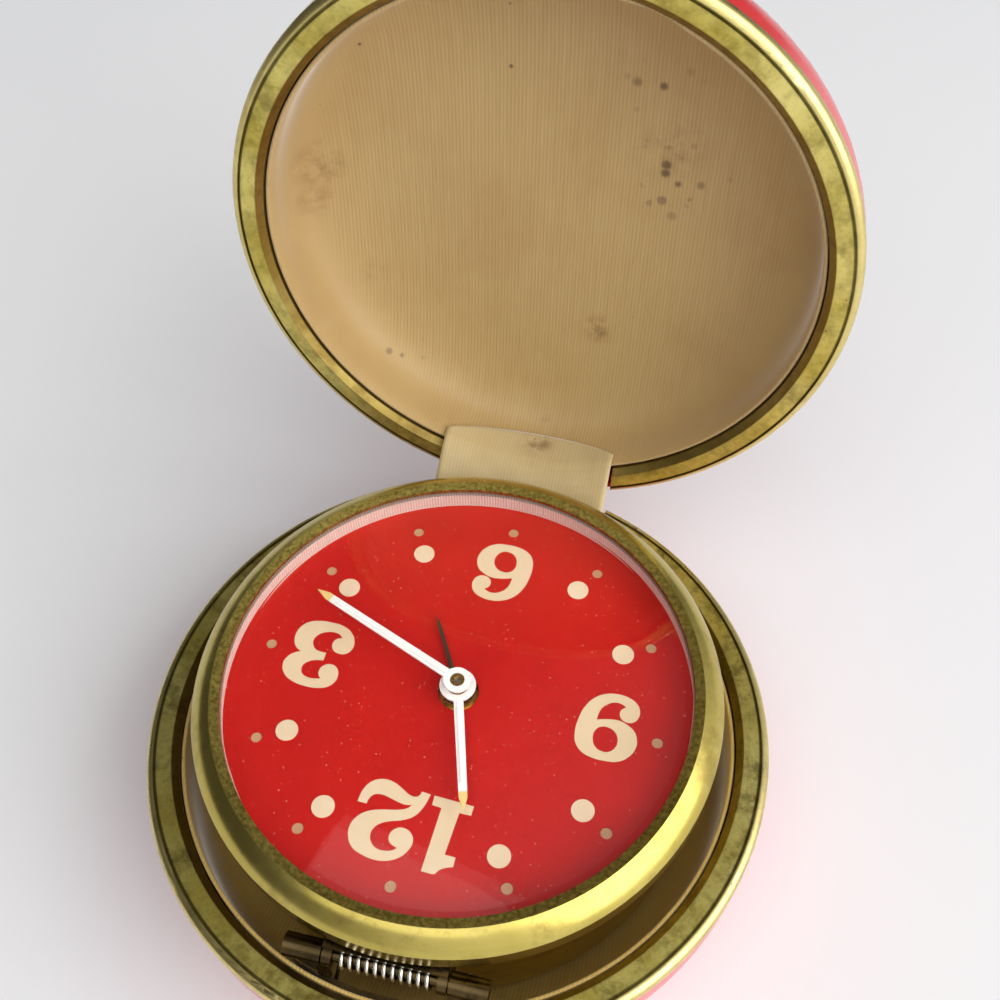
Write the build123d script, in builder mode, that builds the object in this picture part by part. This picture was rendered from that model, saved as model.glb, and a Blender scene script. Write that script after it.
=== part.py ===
from build123d import *
import os
from math import asin, cos, degrees, pi, radians, sin, sqrt

# Folding travel alarm clock: a round clamshell case with a lined lid and base, and a drum clock
# that swings up out of the base on a sprung hinge at the front.
# Millimetres, +Z up, origin at the middle of the base's flat foot, lid hinge towards +Y.
os.makedirs("parts", exist_ok=True)

# Case sizes
case_radius = 40.0
shell_wall = 1.2
lid_height = 15.0
base_corner = 15.0
lid_corner = 11.0
rim_sheet = 0.6
rim_width = 4.1
rim_side = 1.6
rim_skirt = 2.6
rim_slope = 0.8
rim_bead_width = 1.0
rim_bead_drop = 0.9
rim_groove_width = 0.3
rim_groove_depth = 0.25
rim_rear_gap = 25.6
lining_wall = 0.5
lining_gap = 0.2
lining_edge = 1.1
lining_flat_inset = 0.4
seat_clearance = 0.1

# Lid hinge and strap sizes
lid_open_angle = 95.5
lid_gap = 0.1
lid_hinge_inset = 0.8
lid_hinge_drop = 1.0
lid_barrel_radius = 1.1
lid_pin_radius = 0.5
lid_hinge_half = 6.0
lid_knuckle_half = 2.2
knuckle_gap = 0.1
hinge_notch_play = 0.3
leaf_sheet = 0.4
leaf_reach = 3.4
pin_clearance = 0.05
strap_width = 25.0
strap_thickness = 0.5
strap_gap = 0.3
strap_base_reach = 5.0
strap_lid_reach = 6.2
strap_lid_curve = 3.8
strap_lid_side = 2.0

# Clock drum sizes
clock_offset = 1.2
clock_room = 4.2
band_wall = 0.6
band_ledge = 0.8
band_ledge_height = 0.6
band_rise = 7.0
bezel_overhang = 2.2
bezel_skirt = 3.0
bezel_shoulder = 0.3
bezel_lip_bevel = 1.2
bezel_sheet = 0.6
bezel_lip = 1.0
crystal_edge = 1.1
crystal_wall = 1.0
crystal_dome = 3.4
crystal_play = 0.1
dial_lift = 4.6
dial_thickness = 0.4
dial_turn = 3.0
dial_hole = 2.6
dial_ring_wall = 0.9
dial_foot_radius = 0.6
dial_foot_inset = 8.3
dial_foot_angles = (20, 140, 260)
small_dot_inset = 4.7
small_dot_radius = 0.7
big_dot_inset = 8.5
big_dot_radius = 1.4
dot_thickness = 0.1
hour_angle = 30

# Clock hinge sizes
hinge_stand = 2.2
hinge_lift = 0.6
hinge_barrel_radius = 1.4
hinge_pin_radius = 0.75
hinge_half = 12.0
hinge_inner = 7.5
ear_thickness = 1.1
ear_gap = 0.2
hinge_sheet = 0.6
hinge_plate_room = 0.25
bracket_inset = 1.0
bracket_height = 5.4
bracket_drop = 2.6
hinge_leaf_rise = 2.8
hinge_leaf_drop = 3.6
spring_wire = 0.5
spring_radius = 1.15
spring_pitch = 1.0
spring_turns = 10
spring_start = -30
spring_end = 270

# Movement sizes
plate_thickness = 1.0
back_plate_thickness = 1.1
plate_lift = 1.2
plate_play = 0.2
back_plate_inset = 3.0
pillar_radius = 1.5
pillar_inset = 5.5
pillar_angles = (5, 80, 180, 270)
post_radius = 1.6
post_inset = 6.4
post_angles = (40, 130, 290)
screw_radius = 0.6
screw_head_radius = 1.2
screw_head_height = 0.7
screw_reach = 2.0
barrel_lift = 0.8
barrel_height = 4.0
barrel_tooth_height = 0.8
barrel_wall = 0.6
deck_gap = 1.2
upper_deck_gap = 1.0
top_gap = 1.4
wheel_sheet = 0.6
fourth_lift = 3.0
pinion_extra = 0.2
arbor_radius = 0.4
barrel_arbor_radius = 1.6
centre_pipe_wall = 0.55
pivot_clearance = 0.05
press_clearance = 0.02
motion_gap = 0.3
motion_sheet = 0.5
pipe_wall = 0.45
cover_thickness = 0.8
cover_lip = 1.2
key_gap = 0.2
key_height = 3.2
key_hub_radius = 2.6
key_span = 13.0
key_wing = 1.3
knob_radius = 3.0
knob_flutes = 16
knob_flute_depth = 0.3
floor_gap = 1.1
button_radius = 1.3
button_flange = 0.7
button_height = 2.4
button_travel = 1.5
button_room = 0.3
button_direction = 65
regulator_reach = 8.0
regulator_sheet = 0.5
regulator_swing = 20
regulator_slot_end = 3
regulator_angle = 135
regulator_pin_radius = 0.7

# Gear sizes: module, then tooth counts of wheel and pinion
great_module = 0.4
great_teeth = 50
centre_pinion_teeth = 10
centre_module = 0.3
centre_teeth = 60
third_pinion_teeth = 8
third_module = 0.3
third_teeth = 48
fourth_pinion_teeth = 6
fourth_module = 0.25
fourth_teeth = 48
escape_pinion_teeth = 6
escape_teeth = 15
escape_radius = 4.0
escape_tooth = 1.0
cannon_module = 0.3
cannon_teeth = 12
minute_teeth = 36
hour_module = 0.24
minute_pinion_teeth = 12
hour_teeth = 48
setting_module = 0.3
setting_teeth = 24
alarm_wheel_teeth = 48
strike_pinion_teeth = 8
strike_teeth = 18
strike_radius = 4.2
addendum = 0.75
dedendum = 1.05
tooth_share = 0.36
tip_share = 0.16
root_share = 0.5
wheel_arms = 4
crossing_circle = 0.58
crossing_size = 0.25
ratchet_foot = 0.3
ratchet_back = 0.85

# Directions from one arbor to the next, in degrees from +X
going_direction = 200
alarm_direction = 333
alarm_distance = 14.2
third_direction = 60
fourth_direction = 150
escape_direction = 170
balance_direction = 215
minute_direction = 90
setting_direction = 270
strike_direction = 60
hammer_direction = 100

# Escapement and strike sizes
lever_distance = 5.6
balance_distance = 11.0
pallet_spread = 38
pallet_radius = 0.25
pallet_room = 0.35
lever_width = 1.0
fork_room = 1.7
balance_radius = 4.7
balance_rim = 0.7
balance_height = 0.8
roller_radius = 0.9
hairspring_strip = 0.2
hairspring_pitch = 0.65
hairspring_inner = 0.75
hairspring_half_turns = 9
hairspring_height = 0.5
hairspring_gap = 0.2
mainspring_strip = 0.5
mainspring_pitch = 1.05
mainspring_half_turns = 11
hammer_distance = 6.2
hammer_reach = 7.2
hammer_turn = 33
hammer_head_radius = 1.4

# Hand sizes
hand_sheet = 0.25
alarm_hand_gap = 0.4
hour_hand_gap = 1.1
minute_hand_gap = 1.05
minute_hub_radius = 1.75
hour_hub_radius = 2.3
alarm_hub_radius = 2.0
hour_hand_inset = 13.8
minute_hand_inset = 7.3
alarm_hand_inset = 18.7
hand_root_width = 1.25
hand_tip_width = 1.05
alarm_root_width = 0.7
alarm_tip_width = 0.45
hand_point = 1.7
hand_ridge = 0.15
hour_hand_angle = 340
minute_hand_angle = 109.5
alarm_hand_angle = 148
arbor_recess = 0.3

# Heights worked out from the sizes above
cover_gap = button_flange + button_travel + button_room
frame_height = (
    barrel_lift + barrel_height + deck_gap + wheel_sheet + upper_deck_gap + wheel_sheet + top_gap
)
drum_depth = (
    plate_thickness - plate_lift + frame_height + back_plate_thickness + cover_gap + cover_thickness
)
base_height = shell_wall + lining_wall + floor_gap + key_height + key_gap + drum_depth
parting = base_height
front_plate_top = parting + plate_lift
front_plate_bottom = front_plate_top - plate_thickness
back_plate_top = front_plate_bottom - frame_height
back_plate_bottom = back_plate_top - back_plate_thickness
cover_top = back_plate_bottom - cover_gap
cover_bottom = cover_top - cover_thickness
key_top = cover_bottom - key_gap
key_bottom = key_top - key_height
barrel_bottom = back_plate_top + barrel_lift
barrel_top = barrel_bottom + barrel_height
barrel_teeth_bottom = barrel_top - barrel_tooth_height
centre_wheel_bottom = barrel_top + deck_gap
third_wheel_bottom = centre_wheel_bottom + wheel_sheet + upper_deck_gap
fourth_wheel_bottom = back_plate_top + fourth_lift
arm_bottom = centre_wheel_bottom + wheel_sheet + pallet_room
balance_bottom = arm_bottom + wheel_sheet + pallet_room
balance_top = balance_bottom + balance_height
minute_wheel_bottom = front_plate_top + motion_gap
hour_wheel_bottom = minute_wheel_bottom + motion_sheet + motion_gap
alarm_wheel_bottom = hour_wheel_bottom + motion_sheet + motion_gap
dial_top = parting + dial_lift
dial_bottom = dial_top - dial_thickness
alarm_hand_bottom = dial_top + alarm_hand_gap
hour_hand_bottom = alarm_hand_bottom + hand_sheet + hour_hand_gap
minute_hand_bottom = hour_hand_bottom + hand_sheet + minute_hand_gap
minute_hand_top = minute_hand_bottom + hand_sheet
band_top = parting + band_rise
bezel_bottom = band_top - bezel_skirt
crystal_top = band_top + crystal_edge

# Radii worked out from the sizes above
rim_inner = case_radius - rim_width
shell_radius = case_radius - seat_clearance
shell_lip = shell_radius - rim_sheet
shell_inner = shell_radius - shell_wall
lining_radius = rim_inner - lining_gap
lining_inner = lining_radius - lining_wall
base_lining_corner = lining_radius - shell_radius + base_corner + lining_flat_inset
lid_lining_corner = lining_radius - shell_radius + lid_corner + lining_flat_inset
band_radius = lining_inner - clock_room
band_inner = band_radius - band_wall
bezel_radius = band_radius + bezel_overhang
plate_radius = band_inner - plate_play
back_plate_radius = plate_radius - back_plate_inset + plate_play
dial_radius = band_inner - seat_clearance
dial_foot_circle = dial_radius - dial_foot_inset
small_dot_circle = dial_radius - small_dot_inset
big_dot_circle = dial_radius - big_dot_inset
hour_hand_length = dial_radius - hour_hand_inset
minute_hand_length = dial_radius - minute_hand_inset
alarm_hand_length = dial_radius - alarm_hand_inset
bezel_opening = band_inner - bezel_lip
crystal_radius = band_inner + plate_play
hour_pipe_bore = arbor_radius + pivot_clearance + pipe_wall + pivot_clearance
alarm_pipe_bore = hour_pipe_bore + pipe_wall + pivot_clearance
alarm_pipe_radius = alarm_pipe_bore + pipe_wall

# Places of the arbors in plan
centre = (0.0, clock_offset)


def polar(start, distance, angle):
    return (
        start[0] + distance * cos(radians(angle)),
        start[1] + distance * sin(radians(angle)),
    )


def pitch_distance(module, first, second):
    return module * (first + second) / 2


going_place = polar(
    centre, pitch_distance(great_module, great_teeth, centre_pinion_teeth), going_direction
)
alarm_place = polar(centre, alarm_distance, alarm_direction)
third_place = polar(
    centre, pitch_distance(centre_module, centre_teeth, third_pinion_teeth), third_direction
)
fourth_place = polar(
    third_place, pitch_distance(third_module, third_teeth, fourth_pinion_teeth), fourth_direction
)
escape_place = polar(
    fourth_place, pitch_distance(fourth_module, fourth_teeth, escape_pinion_teeth), escape_direction
)
lever_place = polar(escape_place, lever_distance, balance_direction)
balance_place = polar(escape_place, balance_distance, balance_direction)
minute_place = polar(centre, pitch_distance(cannon_module, cannon_teeth, minute_teeth), minute_direction)
setting_place = polar(
    centre, pitch_distance(setting_module, alarm_wheel_teeth, setting_teeth), setting_direction
)
strike_place = polar(
    alarm_place, pitch_distance(great_module, great_teeth, strike_pinion_teeth), strike_direction
)
hammer_place = polar(strike_place, hammer_distance, hammer_direction)
button_place = polar(centre, band_radius - pillar_inset - post_inset, button_direction)
pillar_places = [polar(centre, band_radius - pillar_inset, angle) for angle in pillar_angles]
post_places = [polar(centre, band_radius - post_inset, angle) for angle in post_angles]
foot_places = [polar(centre, dial_foot_circle, angle) for angle in dial_foot_angles]

# Frames of the two case halves: local x points to the rear, local y into the half
hinge_axis_y = case_radius - lid_hinge_inset
hinge_axis_z = parting - lid_hinge_drop
swing = radians(lid_open_angle)
lid_rear = Vector(0, cos(swing), -sin(swing))
lid_into = Vector(0, sin(swing), cos(swing))
lid_centre = (
    Vector(0, hinge_axis_y, hinge_axis_z)
    - lid_rear * hinge_axis_y
    + lid_into * (lid_hinge_drop + lid_gap)
)
base_rear = Vector(0, 1, 0)
base_into = Vector(0, 0, -1)
base_centre = Vector(0, 0, parting)
base_section = Plane(base_centre, x_dir=base_rear, z_dir=base_rear.cross(base_into))
base_face = Plane(base_centre, x_dir=base_rear, z_dir=base_into)
base_axis = Axis(base_centre, base_into)
lid_section = Plane(lid_centre, x_dir=lid_rear, z_dir=lid_rear.cross(lid_into))
lid_face = Plane(lid_centre, x_dir=lid_rear, z_dir=lid_into)
lid_axis = Axis(lid_centre, lid_into)


def finish(piece, node):
    piece.part.label = node
    export_step(piece.part, f"parts/{node}.step")


def cup_outline(radius, wall, edge, depth, corner):
    """Half section of a round cup with a flat floor, in radius and depth."""
    flat = radius - corner
    floor = Line((0, depth), (flat, depth))
    outer_bend = TangentArc(floor @ 1, (radius, depth - corner), tangent=(1, 0))
    mouth = Polyline(outer_bend @ 1, (radius, edge), (radius - wall, edge), (radius - wall, depth - corner))
    inner_bend = TangentArc(mouth @ 1, (flat, depth - wall), tangent=(0, 1))
    Polyline(inner_bend @ 1, (0, depth - wall), floor @ 0)


def rim_outline():
    """Half section of the folded rim: sloped inner lip, flat face, groove and rounded outer bead."""
    groove_outer = case_radius - rim_bead_width
    groove_inner = groove_outer - rim_groove_width
    fold = rim_sheet * (sqrt(2) - 1)
    bead = TangentArc((groove_outer, 0), (case_radius, rim_bead_drop), tangent=(1, 0))
    Polyline(
        bead @ 1,
        (case_radius, rim_side),
        (case_radius - rim_sheet, rim_side),
        (case_radius - rim_sheet, rim_sheet),
        (rim_inner + rim_slope + fold, rim_sheet),
        (rim_inner + rim_sheet, rim_slope + fold),
        (rim_inner + rim_sheet, rim_skirt),
        (rim_inner, rim_skirt),
        (rim_inner, rim_slope),
        (rim_inner + rim_slope, 0),
        (groove_inner, 0),
        (groove_inner, rim_groove_depth),
        (groove_outer, rim_groove_depth),
        bead @ 0,
    )


def rim_seat(face):
    """Step round a shell's edge that takes the rim's side."""
    with BuildSketch(face) as profile:
        Circle(case_radius)
        Circle(shell_lip, mode=Mode.SUBTRACT)
    extrude(profile.sketch, amount=rim_side + seat_clearance, mode=Mode.SUBTRACT)


def rear_cut(face, width, depth):
    """Take away the rear of a case half over a width and a depth from its face."""
    with BuildSketch(face) as profile:
        with Locations((case_radius, 0)):
            Rectangle(case_radius, width)
    extrude(profile.sketch, amount=depth, mode=Mode.SUBTRACT)


def rod(place, bottom, top, radius, mode=Mode.ADD):
    """Round bar or bore standing at a place in plan."""
    with BuildSketch(Plane((place[0], place[1], bottom))) as profile:
        Circle(radius)
    extrude(profile.sketch, amount=top - bottom, mode=mode)


def tooth_points(teeth, module, phase):
    """Corners of a gear's outline: straight-sided teeth with play beside them."""
    step = 360 / teeth
    radius = module * teeth / 2
    root = radius - dedendum * module
    tip = radius + addendum * module
    points = []
    for number in range(teeth):
        middle = phase + number * step
        points.append(polar((0, 0), root, middle - step * root_share / 2))
        points.append(polar((0, 0), radius, middle - step * tooth_share / 2))
        points.append(polar((0, 0), tip, middle - step * tip_share / 2))
        points.append(polar((0, 0), tip, middle + step * tip_share / 2))
        points.append(polar((0, 0), radius, middle + step * tooth_share / 2))
        points.append(polar((0, 0), root, middle + step * root_share / 2))
    return points


def gear(place, bottom, height, teeth, module, phase):
    """Toothed disc; phase is the direction of one tooth."""
    with BuildSketch(Plane((place[0], place[1], bottom))) as profile:
        with BuildLine():
            Polyline(*tooth_points(teeth, module, phase), close=True)
        make_face()
    extrude(profile.sketch, amount=height)


def crossings(place, bottom, height, radius):
    """Round openings that leave arms in a wheel."""
    with BuildSketch(Plane((place[0], place[1], bottom))) as profile:
        with PolarLocations(radius * crossing_circle, wheel_arms):
            Circle(radius * crossing_size)
    extrude(profile.sketch, amount=height, mode=Mode.SUBTRACT)


def ratchet(place, bottom, height, teeth, radius, tooth):
    """Disc with pointed, leaning teeth."""
    step = 360 / teeth
    points = []
    for number in range(teeth):
        points.append(polar((0, 0), radius, number * step))
        points.append(polar((0, 0), radius - tooth, number * step + step * ratchet_foot))
        points.append(polar((0, 0), radius - tooth, number * step + step * ratchet_back))
    with BuildSketch(Plane((place[0], place[1], bottom))) as profile:
        with BuildLine():
            Polyline(*points, close=True)
        make_face()
    extrude(profile.sketch, amount=height)


def spiral_edge(inner, pitch, half_turns, shift):
    """Corners and mid points of a flat spiral of half circles, moved out by a shift."""
    ends = [(-1) ** k * (inner + k * pitch / 2 + shift) for k in range(half_turns + 1)]
    arcs = []
    for k in range(half_turns):
        middle = (ends[k] + ends[k + 1]) / 2
        height = abs(ends[k] - ends[k + 1]) / 2
        arcs.append(((ends[k], 0), (middle, (-1) ** k * height), (ends[k + 1], 0)))
    return arcs


def flat_spiral(place, bottom, height, inner, strip, pitch, half_turns):
    """Coiled strip standing on edge."""
    with BuildSketch(Plane((place[0], place[1], bottom))) as profile:
        with BuildLine():
            outside = spiral_edge(inner, pitch, half_turns, strip / 2)
            inside = spiral_edge(inner, pitch, half_turns, -strip / 2)
            for arc in outside + inside:
                ThreePointArc(*arc)
            Line(outside[0][0], inside[0][0])
            Line(outside[-1][2], inside[-1][2])
        make_face()
    extrude(profile.sketch, amount=height)


def sector(middle, bottom, top, outer, inner, half_width, side):
    """Upright curved plate: a slice of a ring on one side of its middle."""
    with BuildSketch(Plane((middle[0], middle[1], bottom))) as profile:
        Circle(outer)
        Circle(inner, mode=Mode.SUBTRACT)
        with Locations((0, side * outer)):
            Rectangle(2 * half_width, 2 * outer, mode=Mode.INTERSECT)
    extrude(profile.sketch, amount=top - bottom)


def bar_along_x(y, z, start, end, radius, mode=Mode.ADD):
    """Round bar or bore along X."""
    with BuildSketch(Plane((start, y, z), x_dir=(0, 1, 0), z_dir=(1, 0, 0))) as profile:
        Circle(radius)
    extrude(profile.sketch, amount=end - start, mode=mode)


# Base shell: pressed cup with a flat foot and a notch for the lid hinge
with BuildPart() as base_shell:
    with BuildSketch(base_section):
        with BuildLine():
            cup_outline(shell_radius, shell_wall, rim_sheet, base_height, base_corner)
        make_face()
    revolve(axis=base_axis)
    rim_seat(base_face)
    rear_cut(
        base_face,
        2 * (lid_hinge_half + hinge_notch_play),
        lid_hinge_drop + lid_barrel_radius + leaf_sheet,
    )
finish(base_shell, "base_shell")

with BuildPart() as base_rim:
    with BuildSketch(base_section):
        with BuildLine():
            rim_outline()
        make_face()
    revolve(axis=base_axis)
    rear_cut(base_face, rim_rear_gap, base_height)
finish(base_rim, "base_rim")

with BuildPart() as base_lining:
    with BuildSketch(base_section):
        with BuildLine():
            cup_outline(
                lining_radius, lining_wall, lining_edge, base_height - shell_wall, base_lining_corner
            )
        make_face()
    revolve(axis=base_axis)
finish(base_lining, "base_lining")

# Lid: the same three layers, stood open on the hinge
with BuildPart() as lid_shell:
    with BuildSketch(lid_section):
        with BuildLine():
            cup_outline(shell_radius, shell_wall, rim_sheet, lid_height, lid_corner)
        make_face()
    revolve(axis=lid_axis)
    rim_seat(lid_face)
finish(lid_shell, "lid_shell")

with BuildPart() as lid_rim:
    with BuildSketch(lid_section):
        with BuildLine():
            rim_outline()
        make_face()
    revolve(axis=lid_axis)
    rear_cut(lid_face, rim_rear_gap, lid_height)
finish(lid_rim, "lid_rim")

with BuildPart() as lid_lining:
    with BuildSketch(lid_section):
        with BuildLine():
            cup_outline(
                lining_radius, lining_wall, lining_edge, lid_height - shell_wall, lid_lining_corner
            )
        make_face()
    revolve(axis=lid_axis)
finish(lid_lining, "lid_lining")

# Lid hinge: two flat leaves against the shells, rolled knuckles and a pin
leaf_outer = sqrt((shell_inner - seat_clearance) ** 2 - lid_hinge_half**2)
leaf_inner = leaf_outer - leaf_sheet


def hinge_leaf(section, axis_depth, spans):
    """Leaf plate, and on each span of X a strip rolled into a knuckle."""
    strip_bottom = axis_depth + lid_barrel_radius
    strip_top = strip_bottom - leaf_sheet
    with BuildSketch(section) as profile:
        with Locations((leaf_inner, strip_top)):
            Rectangle(leaf_sheet, leaf_reach, align=(Align.MIN, Align.MIN))
    extrude(profile.sketch, amount=lid_hinge_half, both=True)
    for start, end in spans:
        with BuildSketch(section.offset(start)) as profile:
            with Locations((leaf_inner, strip_top)):
                Rectangle(hinge_axis_y - leaf_inner, leaf_sheet, align=(Align.MIN, Align.MIN))
            with Locations((hinge_axis_y, axis_depth)):
                Circle(lid_barrel_radius)
        extrude(profile.sketch, amount=end - start)
    with BuildSketch(section.offset(-2 * lid_hinge_half)) as profile:
        with Locations((hinge_axis_y, axis_depth)):
            Circle(lid_pin_radius + pin_clearance)
    extrude(profile.sketch, amount=4 * lid_hinge_half, mode=Mode.SUBTRACT)


outer_start = lid_knuckle_half + knuckle_gap
with BuildPart() as lid_hinge_base_leaf:
    hinge_leaf(
        base_section,
        lid_hinge_drop,
        ((-lid_hinge_half, -outer_start), (outer_start, lid_hinge_half)),
    )
finish(lid_hinge_base_leaf, "lid_hinge_base_leaf")

with BuildPart() as lid_hinge_lid_leaf:
    hinge_leaf(lid_section, -lid_hinge_drop - lid_gap, ((-lid_knuckle_half, lid_knuckle_half),))
finish(lid_hinge_lid_leaf, "lid_hinge_lid_leaf")

with BuildPart() as lid_hinge_pin:
    bar_along_x(hinge_axis_y, hinge_axis_z, -lid_hinge_half, lid_hinge_half, lid_pin_radius)
finish(lid_hinge_pin, "lid_hinge_pin")

# Fabric strap over the lid hinge: a tongue on each lining and the free span between them
strap_outer = lining_inner - strap_gap
strap_inner = strap_outer - strap_thickness
strap_half_angle = degrees(asin(strap_width / 2 / strap_outer))


def strap_face(face):
    """Curved cross-section of the strap at a lining's edge."""
    reach = 2 * strap_outer
    half = reach * sin(radians(strap_half_angle))
    along = reach * cos(radians(strap_half_angle))
    with BuildSketch(face.offset(lining_edge)) as profile:
        Circle(strap_outer)
        Circle(strap_inner, mode=Mode.SUBTRACT)
        Polygon((0, 0), (along, -half), (along, half), align=None, mode=Mode.INTERSECT)
    return profile.sketch


strap_end_radius = ((strap_width / 2) ** 2 + strap_lid_curve**2) / (2 * strap_lid_curve)
strap_end_plane = Plane(lid_centre, x_dir=(1, 0, 0), z_dir=lid_rear)
with BuildPart() as hinge_strap:
    base_end = strap_face(base_face)
    lid_end = strap_face(lid_face)
    extrude(base_end, amount=strap_base_reach)
    loft(base_end.faces() + lid_end.faces(), ruled=True)
    extrude(lid_end, amount=strap_lid_reach)
    with BuildSketch(strap_end_plane) as end_cut:
        with Locations((0, -strap_lid_side)):
            Rectangle(2 * strap_width, 2 * strap_lid_reach, align=(Align.CENTER, Align.MAX))
        with Locations((0, strap_end_radius - strap_lid_reach)):
            Circle(strap_end_radius, mode=Mode.SUBTRACT)
    extrude(end_cut.sketch, amount=case_radius, mode=Mode.SUBTRACT)
finish(hinge_strap, "hinge_strap")

# Clock hinge: bracket on the base lining, leaf on the drum, pin and torsion spring
axis_y = clock_offset - band_radius - hinge_stand
axis_z = parting + hinge_lift
bracket_outer = lining_inner - strap_gap
bracket_inner = bracket_outer - hinge_sheet
bracket_top = parting - bracket_drop
bracket_bottom = bracket_top - bracket_height
bracket_half = hinge_half - bracket_inset
knuckle_spans = ((-hinge_half, -hinge_inner), (hinge_inner, hinge_half))
pin_bore = hinge_pin_radius + pin_clearance

with BuildPart() as clock_hinge_bracket:
    for side in (-1, 1):
        with BuildSketch(Plane((side * (hinge_inner + bracket_half) / 2, axis_y, bracket_bottom))):
            Rectangle(bracket_half - hinge_inner, 2 * hinge_barrel_radius)
            with Locations((0, -2 * hinge_barrel_radius)):
                Rectangle(bracket_half - hinge_inner, 2 * hinge_barrel_radius)
        extrude(amount=axis_z - bracket_bottom)
    with BuildSketch(Plane((0, axis_y, bracket_bottom))):
        with Locations((0, hinge_barrel_radius)):
            Rectangle(2 * hinge_half, 2 * (hinge_barrel_radius - hinge_sheet) + hinge_barrel_radius)
    extrude(amount=axis_z - bracket_bottom, mode=Mode.SUBTRACT)
    rod((0, 0), bracket_bottom, axis_z, bracket_outer, Mode.INTERSECT)
    sector((0, 0), bracket_bottom, bracket_top, bracket_outer, bracket_inner, bracket_half, -1)
    for start, end in knuckle_spans:
        bar_along_x(axis_y, axis_z, start, end, hinge_barrel_radius)
    bar_along_x(axis_y, axis_z, -2 * hinge_half, 2 * hinge_half, pin_bore, Mode.SUBTRACT)
finish(clock_hinge_bracket, "clock_hinge_bracket")

ear_outer = hinge_inner - ear_gap
ear_inner = ear_outer - ear_thickness
leaf_seat = band_radius + pivot_clearance
with BuildPart() as clock_hinge_leaf:
    for start in (-ear_outer, ear_inner):
        bar_along_x(axis_y, axis_z, start, start + ear_thickness, hinge_barrel_radius)
        with BuildSketch(Plane((start, axis_y, axis_z), x_dir=(0, 1, 0), z_dir=(1, 0, 0))):
            Rectangle(2 * hinge_stand, 2 * hinge_barrel_radius, align=(Align.MIN, Align.CENTER))
        extrude(amount=ear_thickness)
    plate_bottom = axis_z + spring_radius + spring_wire / 2 + hinge_plate_room
    with BuildSketch(Plane((0, axis_y, plate_bottom))):
        Rectangle(2 * ear_outer, 2 * hinge_stand, align=(Align.CENTER, Align.MIN))
    extrude(amount=hinge_sheet)
    rod(centre, axis_z - 2 * hinge_leaf_drop, axis_z + 2 * hinge_leaf_rise, leaf_seat, Mode.SUBTRACT)
    sector(
        centre,
        axis_z - hinge_leaf_drop,
        axis_z + hinge_leaf_rise,
        leaf_seat + hinge_sheet,
        leaf_seat,
        ear_outer,
        -1,
    )
    for start in (-ear_outer, ear_inner):
        with BuildSketch(Plane((start, axis_y, plate_bottom), x_dir=(0, 1, 0), z_dir=(1, 0, 0))):
            Rectangle(hinge_barrel_radius, 2 * hinge_sheet, align=(Align.MIN, Align.CENTER))
        extrude(amount=ear_thickness)
    bar_along_x(axis_y, axis_z, -2 * hinge_half, 2 * hinge_half, pin_bore, Mode.SUBTRACT)
finish(clock_hinge_leaf, "clock_hinge_leaf")

with BuildPart() as clock_hinge_pin:
    bar_along_x(axis_y, axis_z, -hinge_half, hinge_half, hinge_pin_radius)
finish(clock_hinge_pin, "clock_hinge_pin")


def coil_point(angle, middle_angle):
    x = spring_pitch * (angle - middle_angle) / 360
    y, z = polar((axis_y, axis_z), spring_radius, angle)
    return Vector(x, y, z)


def coil_direction(angle):
    advance = spring_pitch / (2 * pi * spring_radius)
    return Vector(advance, -sin(radians(angle)), cos(radians(angle))).normalized()


def biarc(start, start_direction, end, end_direction):
    """Two arcs from one point and direction to another, tangent where they meet."""
    chord = end - start
    both = start_direction + end_direction
    spread = 2 * (1 - start_direction.dot(end_direction))
    along = chord.dot(both)
    reach = (sqrt(along**2 + spread * chord.dot(chord)) - along) / spread
    first_corner = start + start_direction * reach
    second_corner = end - end_direction * reach
    joint = (first_corner + second_corner) * 0.5
    TangentArc(start, joint, tangent=start_direction)
    TangentArc(joint, end, tangent=second_corner - first_corner)


# Torsion spring: leg on the bracket, close turns round the pin, leg on the drum's leaf
last_angle = spring_end + 360 * spring_turns
middle_angle = (spring_start + last_angle) / 2
quarter_count = round((last_angle - spring_start) / 90)
quarter = (last_angle - spring_start) / quarter_count
coil_angles = [spring_start + quarter * number for number in range(quarter_count + 1)]
first_point = coil_point(coil_angles[0], middle_angle)
last_point = coil_point(coil_angles[-1], middle_angle)
leaf_face_y = clock_offset - sqrt((leaf_seat + hinge_sheet) ** 2 - last_point.X**2)
bracket_reach = bracket_inner - seat_clearance - spring_wire / 2
bracket_point_y = -sqrt(bracket_reach**2 - first_point.X**2)
bracket_leg_length = (first_point.Y - bracket_point_y) / coil_direction(coil_angles[0]).Y
drum_leg = leaf_face_y - seat_clearance - spring_wire / 2 - axis_y
with BuildPart() as clock_hinge_spring:
    with BuildLine() as wire:
        bracket_leg = Line(first_point - coil_direction(coil_angles[0]) * bracket_leg_length, first_point)
        for near, far in zip(coil_angles, coil_angles[1:]):
            biarc(
                coil_point(near, middle_angle),
                coil_direction(near),
                coil_point(far, middle_angle),
                coil_direction(far),
            )
        Line(last_point, last_point + coil_direction(coil_angles[-1]) * drum_leg)
    with BuildSketch(Plane(bracket_leg @ 0, z_dir=bracket_leg % 0)):
        Circle(spring_wire / 2)
    sweep()
finish(clock_hinge_spring, "clock_hinge_spring")

sample_step = 15
half_turn = 180 // sample_step
samples = [coil_point(angle, middle_angle) for angle in range(spring_start, int(last_angle), sample_step)]
least_gap = min(
    (far - near).length - spring_wire
    for number, near in enumerate(samples)
    for far in samples[number + half_turn:]
)
print(f"least gap between the hinge spring's turns: {least_gap:.2f} mm")

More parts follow.
